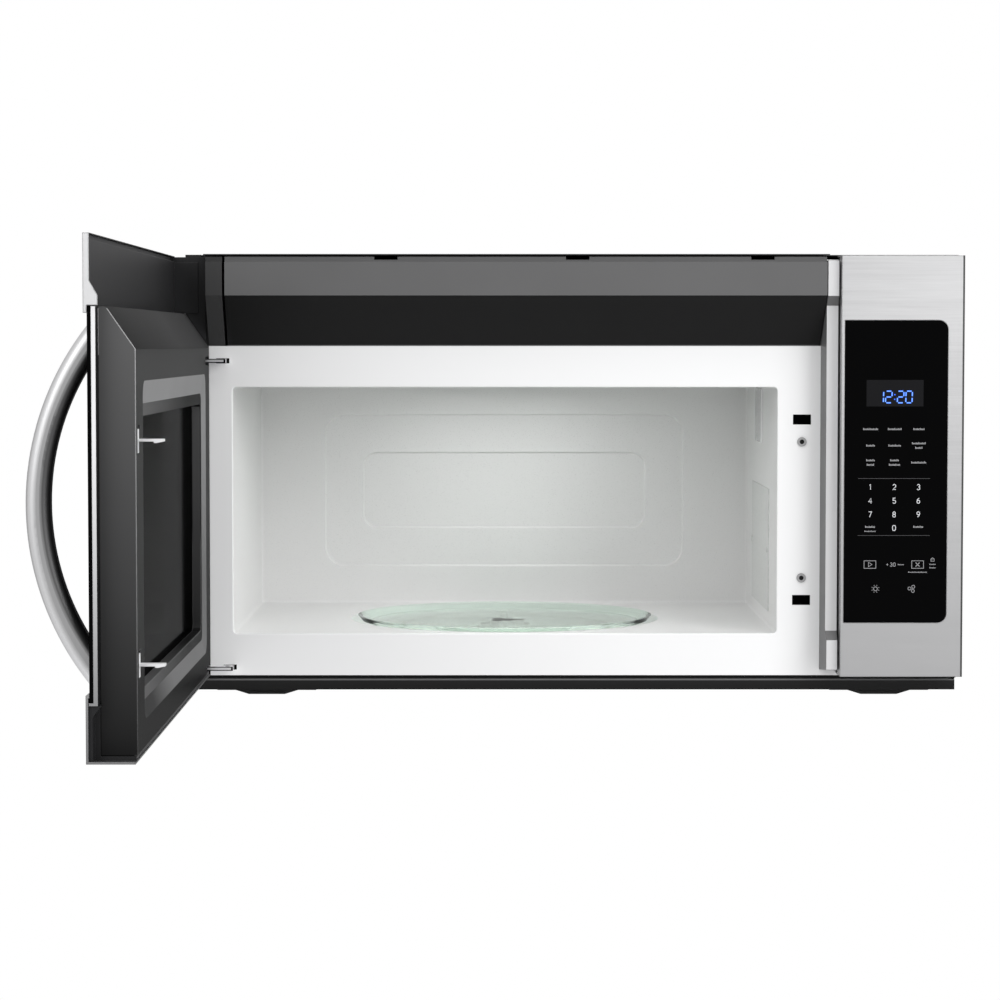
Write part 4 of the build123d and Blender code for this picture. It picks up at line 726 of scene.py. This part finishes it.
# the width of each line of marks, key by key; the small ones are x, height and width
legends = {
    "rows": (262.1, 245.9, 229.2),
    "words": (((15.5,), (14.0,), (12.0,)),
              ((9.0,), (13.0,), (14.0, 8.0)),
              ((9.0, 8.5), (9.0, 11.5), (15.0,))),
    "lowWords": (11.0, 10.0), "lowRise": 1.2, "tall": 2.0, "step": 4.4, "smallTall": 1.2,
    "noteDrop": 3.2, "noteWide": 12.0, "noteTall": 1.3,
    "small": ((335.2, 121.0, 19.0), (349.9, 128.8, 7.0), (349.9, 125.4, 7.0), (318.6, 128.5, 6.5))}
rules = {"heights": (213.4, 157.2), "left": 276.0, "right": 347.0, "line": 0.35}


def addKeypad():
    bm = bmesh.new()
    for n, sign in enumerate("123456789"):
        numeral(bm, sign, keypad["columns"][n % 3], keypad["rows"][n // 3], keypad["tall"], keypad["line"])
    numeral(bm, "0", keypad["columns"][1], keypad["rows"][3], keypad["tall"], keypad["line"])
    makePiece("keypadNumbers", bm, "panelInk", "case")


def addLegends():
    bm = bmesh.new()
    for height, row in zip(legends["rows"], legends["words"]):
        for x, widths in zip(keypad["columns"], row):
            for n, wide in enumerate(widths):
                lift = legends["step"] * (len(widths) - 1) / 2 - legends["step"] * n
                blocks(bm, x, height + lift, wide, legends["tall"])
    low = keypad["rows"][3]
    for x, wide in zip(keypad["columns"][::2], legends["lowWords"]):
        blocks(bm, x, low + legends["lowRise"], wide, legends["tall"])
    blocks(bm, keypad["columns"][0], low - legends["noteDrop"], legends["noteWide"], legends["noteTall"])
    for x, height, wide in legends["small"]:
        blocks(bm, x, height, wide, legends["smallTall"])
    makePiece("panelLegends", bm, "panelSoft", "case")


def addRules():
    bm = bmesh.new()
    middle = (rules["left"] + rules["right"]) / 2
    for height in rules["heights"]:
        bar(bm, middle, height, rules["right"] - rules["left"], rules["line"])
    makePiece("panelRules", bm, "panelFaint", "case")


icons = {
    "boxes": (288.2, 335.2), "boxHeight": 128.5, "boxWide": 11.6, "boxTall": 7.4, "line": 0.5,
    "arrowBack": 1.5, "arrowFront": 2.1, "arrowHalf": 2.2, "cross": 1.9, "crossLine": 0.7,
    "added": (("+", 305.4), ("3", 309.1), ("0", 312.2)), "addedTall": 3.6,
    "lock": (349.9, 133.0), "lockWide": 3.2, "lockTall": 2.2, "lockLine": 0.45,
    "lockDrop": 0.1, "bowRise": 1.0, "bow": 1.1,
    "lamp": (293.8, 104.5), "lampRing": 1.9, "rays": (3.0, 4.0), "rayTurn": 22,
    "fan": (329.7, 104.6), "hub": 0.7, "blade": 1.5, "bladeOut": 2.4}


def outlineBox(bm, x, height, wide, tall, line):
    left, right, low, high = x - wide / 2, x + wide / 2, height - tall / 2, height + tall / 2
    ribbon(bm, [(left, low), (right, low), (right, high), (left, high), (left, low)], line)


def around(x, height, radius, angle):
    return (x + radius * cos(radians(angle)), height + radius * sin(radians(angle)))


def addIcons():
    bm = bmesh.new()
    line, h = icons["line"], icons["boxHeight"]
    for x in icons["boxes"]:
        outlineBox(bm, x, h, icons["boxWide"], icons["boxTall"], line)
    # a start arrow in the first box and a stop cross in the second
    start, stop = icons["boxes"]
    back, half = start - icons["arrowBack"], icons["arrowHalf"]
    ribbon(bm, [(back, h - half), (start + icons["arrowFront"], h), (back, h + half), (back, h - half)], line)
    arm = icons["cross"]
    for rise in (-arm, arm):
        ribbon(bm, [(stop - arm, h + rise), (stop + arm, h - rise)], icons["crossLine"])
    for sign, place in icons["added"]:
        numeral(bm, sign, place, h, icons["addedTall"], line)
    # padlock
    x, h = icons["lock"]
    outlineBox(bm, x, h - icons["lockDrop"], icons["lockWide"], icons["lockTall"], icons["lockLine"])
    ribbon(bm, arc(x, h + icons["bowRise"], icons["bow"], 0, 180), icons["lockLine"])
    # lamp: a ring with short rays
    x, h = icons["lamp"]
    ring = arc(x, h, icons["lampRing"], 0, 360, 16)
    ribbon(bm, ring[:-1] + ring[:1], line)
    for n in range(8):
        ribbon(bm, [around(x, h, reach, 45 * n + icons["rayTurn"]) for reach in icons["rays"]], line)
    # fan: three curved blades
    x, h = icons["fan"]
    for n in range(3):
        turn = 120 * n + 30
        hub = around(x, h, icons["hub"], turn)
        middle = around(x, h, icons["bladeOut"], turn + 25)
        ribbon(bm, [hub] + arc(*middle, icons["blade"], turn - 120, turn + 150, 9) + [hub], line)
    makePiece("panelIcons", bm, "panelSoft", "case")


clock = {
    "left": 299.0, "low": 287.9, "tall": 11.4, "wide": 6.2, "gap": 2.1, "lean": 0.03,
    "line": 1.35, "inset": 0.62, "core": 0.55, "coreLift": 0.08, "dot": 1.2, "dots": (0.3, 0.7),
    "ground": (311.8, 297.3, 56.0, 26.0), "groundThick": 0.03 * mm}
# the seven strokes of a clock figure, on a cell one wide and two tall
segments = {"top": ((0, 2), (1, 2)), "middle": ((0, 1), (1, 1)), "bottom": ((0, 0), (1, 0)),
            "leftHigh": ((0, 1), (0, 2)), "rightHigh": ((1, 1), (1, 2)), "leftLow": ((0, 0), (0, 1)),
            "rightLow": ((1, 0), (1, 1))}
figures = {
    "1": ("rightHigh", "rightLow"),
    "2": ("top", "rightHigh", "middle", "leftLow", "bottom"),
    "0": ("top", "leftHigh", "rightHigh", "leftLow", "rightLow", "bottom")}


def addClock():
    glass = bmesh.new()
    bar(glass, *clock["ground"], clock["groundThick"])
    makePiece("displayGround", glass, "displayGround", "case")
    bm = bmesh.new()
    core = bmesh.new()
    x = clock["left"]
    inset = clock["line"] * clock["inset"]
    for sign in "12:20":
        if sign == ":":
            for up in clock["dots"]:
                rise, dot = clock["tall"] * up, clock["dot"]
                bar(bm, x + dot / 2 + clock["lean"] * rise, clock["low"] + rise, dot, dot)
            x += clock["dot"] + clock["gap"]
            continue
        if sign == "1":
            x -= clock["wide"] - clock["line"]
        for name in figures[sign]:
            (ax, az), (bx, bz) = segments[name]
            ends = []
            for u, v, toU, toV in ((ax, az, bx, bz), (bx, bz, ax, az)):
                height = v * clock["tall"] / 2 + inset * (toV - v)
                place = u * clock["wide"] + inset * (toU - u) + height * clock["lean"]
                ends.append((x + place, clock["low"] + height))
            ribbon(bm, ends, clock["line"])
            ribbon(core, ends, clock["core"], lift=clock["coreLift"])
        x += clock["wide"] + clock["gap"]
    makePiece("clockFigures", bm, "displayBlue", "case")
    makePiece("clockCores", core, "displayCore", "case")


addKeypad()
addLegends()
addRules()
addIcons()
addClock()
print("panel printed")


spring = {"wire": 0.7 * mm, "turns": 6, "flatTurns": 1, "around": 20, "sides": 8, "travel": 2.5 * mm}


def addLatchSpring():
    # the wound spring over the latch bar's tab
    low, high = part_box("latch_spring")
    middle = (low + high) / 2
    wire, flat, active = spring["wire"], spring["flatTurns"], spring["turns"]
    radius = (high.x - low.x) / 2 - wire
    closedRise = flat * 2 * wire
    openRise = high.z - low.z - 2 * wire - 2 * closedRise
    bm = bmesh.new()
    rings = []
    for n in range((active + 2 * flat) * spring["around"] + 1):
        turned = n / spring["around"]
        # the first and last turns lie on each other, and those between climb evenly
        opened = min(max(turned - flat, 0.0), active)
        closed = turned - opened
        height = low.z + wire + closed / flat * closedRise + opened / active * openRise
        out = Vector((cos(radians(360 * turned)), sin(radians(360 * turned)), 0.0))
        centre = Vector((middle.x, middle.y, height)) + out * radius
        ring = []
        for k in range(spring["sides"]):
            turn = radians(360 * k / spring["sides"])
            ring.append(bm.verts.new(centre + wire * (out * cos(turn) + Vector((0, 0, sin(turn))))))
        rings.append(ring)
    for a, b in zip(rings, rings[1:]):
        for k in range(spring["sides"]):
            bm.faces.new((a[k], a[k - 1], b[k - 1], b[k]))
    bm.faces.new(rings[0])
    bm.faces.new(rings[-1])
    coil = makePiece("latchSpringCoil", bm, "bareSteel", "latch", True)
    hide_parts("latch_spring")
    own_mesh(coil)


addLatchSpring()
print("spring wound")


studio = {
    "world": 0.5, "mirrored": 0.6, "floorDrop": 0.85, "floorWide": 3.4, "floorNear": -2.4, "floorFar": 0.45,
    "lamps": (
        ("frontLeft", (-1.9, -3.2, 1.5), (0.0, -0.3, 0.0), 2.2, 34.0),
        ("frontRight", (2.1, -2.6, 1.1), (0.1, -0.3, 0.0), 1.8, 46.0),
        ("above", (0.2, -0.9, 2.4), (0.0, -0.3, 0.0), 2.0, 30.0),
        ("oven", (-0.07, -0.2, 0.075), (-0.07, -0.2, -0.1), 0.2, 0.36))}


def floorPaint(name):
    # matt white from above and clear from below, so that the underside can be looked at through it
    look = Look(name, roughness=0.7)
    look.set("baseColor", look.mix(look.noise(paint["cloud"], 3.0), grey(0.84), grey(0.86)))
    below = look.add("ShaderNodeNewGeometry", output="Backfacing")
    clear = look.add("ShaderNodeBsdfTransparent")
    matt = Shade(look, look.shader.outputs[0])
    both = look.add("ShaderNodeMixShader", None, {0: below, 1: matt, 2: clear})
    look.feed(look.tree.nodes["Material Output"].inputs["Surface"], both)
    return look.material


def addStudio():
    world = bpy.data.worlds.new("studio")
    bpy.context.scene.world = world
    world.use_nodes = True
    tree = world.node_tree
    ground = tree.nodes["Background"]
    ground.inputs["Color"].default_value = (1, 1, 1, 1)
    path = tree.nodes.new("ShaderNodeLightPath")
    # white where the camera looks, dimmer for the light it gives and for its mirror image
    level = studio["world"]
    for ray, strength in (("Is Glossy Ray", studio["mirrored"]), ("Is Transmission Ray", 1.0),
                          ("Is Camera Ray", 1.0)):
        blend = tree.nodes.new("ShaderNodeMix")
        tree.links.new(path.outputs[ray], blend.inputs[0])
        if isinstance(level, float):
            blend.inputs[2].default_value = level
        else:
            tree.links.new(level, blend.inputs[2])
        blend.inputs[3].default_value = strength
        level = blend.outputs[0]
    tree.links.new(level, ground.inputs["Strength"])
    for name, at, aim, size, power in studio["lamps"]:
        data = bpy.data.lights.new(name, "AREA")
        data.size = size
        data.energy = power
        lamp = bpy.data.objects.new(name, data)
        bpy.context.collection.objects.link(lamp)
        lamp.location = at
        lamp.visible_camera = False
        lamp.rotation_euler = (Vector(at) - Vector(aim)).to_track_quat("Z", "Y").to_euler()
    bm = bmesh.new()
    half, near, far = studio["floorWide"] / 2, studio["floorNear"], studio["floorFar"]
    corners = ((-half, near), (half, near), (half, far), (-half, far))
    bm.faces.new([bm.verts.new((x, y, -studio["floorDrop"])) for x, y in corners])
    data = bpy.data.meshes.new("floor")
    bm.to_mesh(data)
    bm.free()
    floor = bpy.data.objects.new("floor", data)
    bpy.context.collection.objects.link(floor)
    data.materials.append(floorPaint("floorPaint"))


view = {"lens": 106.8, "sensor": 36.0, "at": (-0.0788, -3.3198, 0.1287), "dip": 3.012, "turn": -0.046}


def addCamera():
    data = bpy.data.cameras.new("photoCamera")
    data.lens = view["lens"]
    data.sensor_width = view["sensor"]
    camera = bpy.data.objects.new("photoCamera", data)
    bpy.context.collection.objects.link(camera)
    camera.location = view["at"]
    camera.rotation_euler = (radians(90 - view["dip"]), 0, radians(view["turn"]))
    bpy.context.scene.camera = camera


addStudio()
addCamera()
bpy.context.scene.view_settings.view_transform = "Standard"
print("studio set")
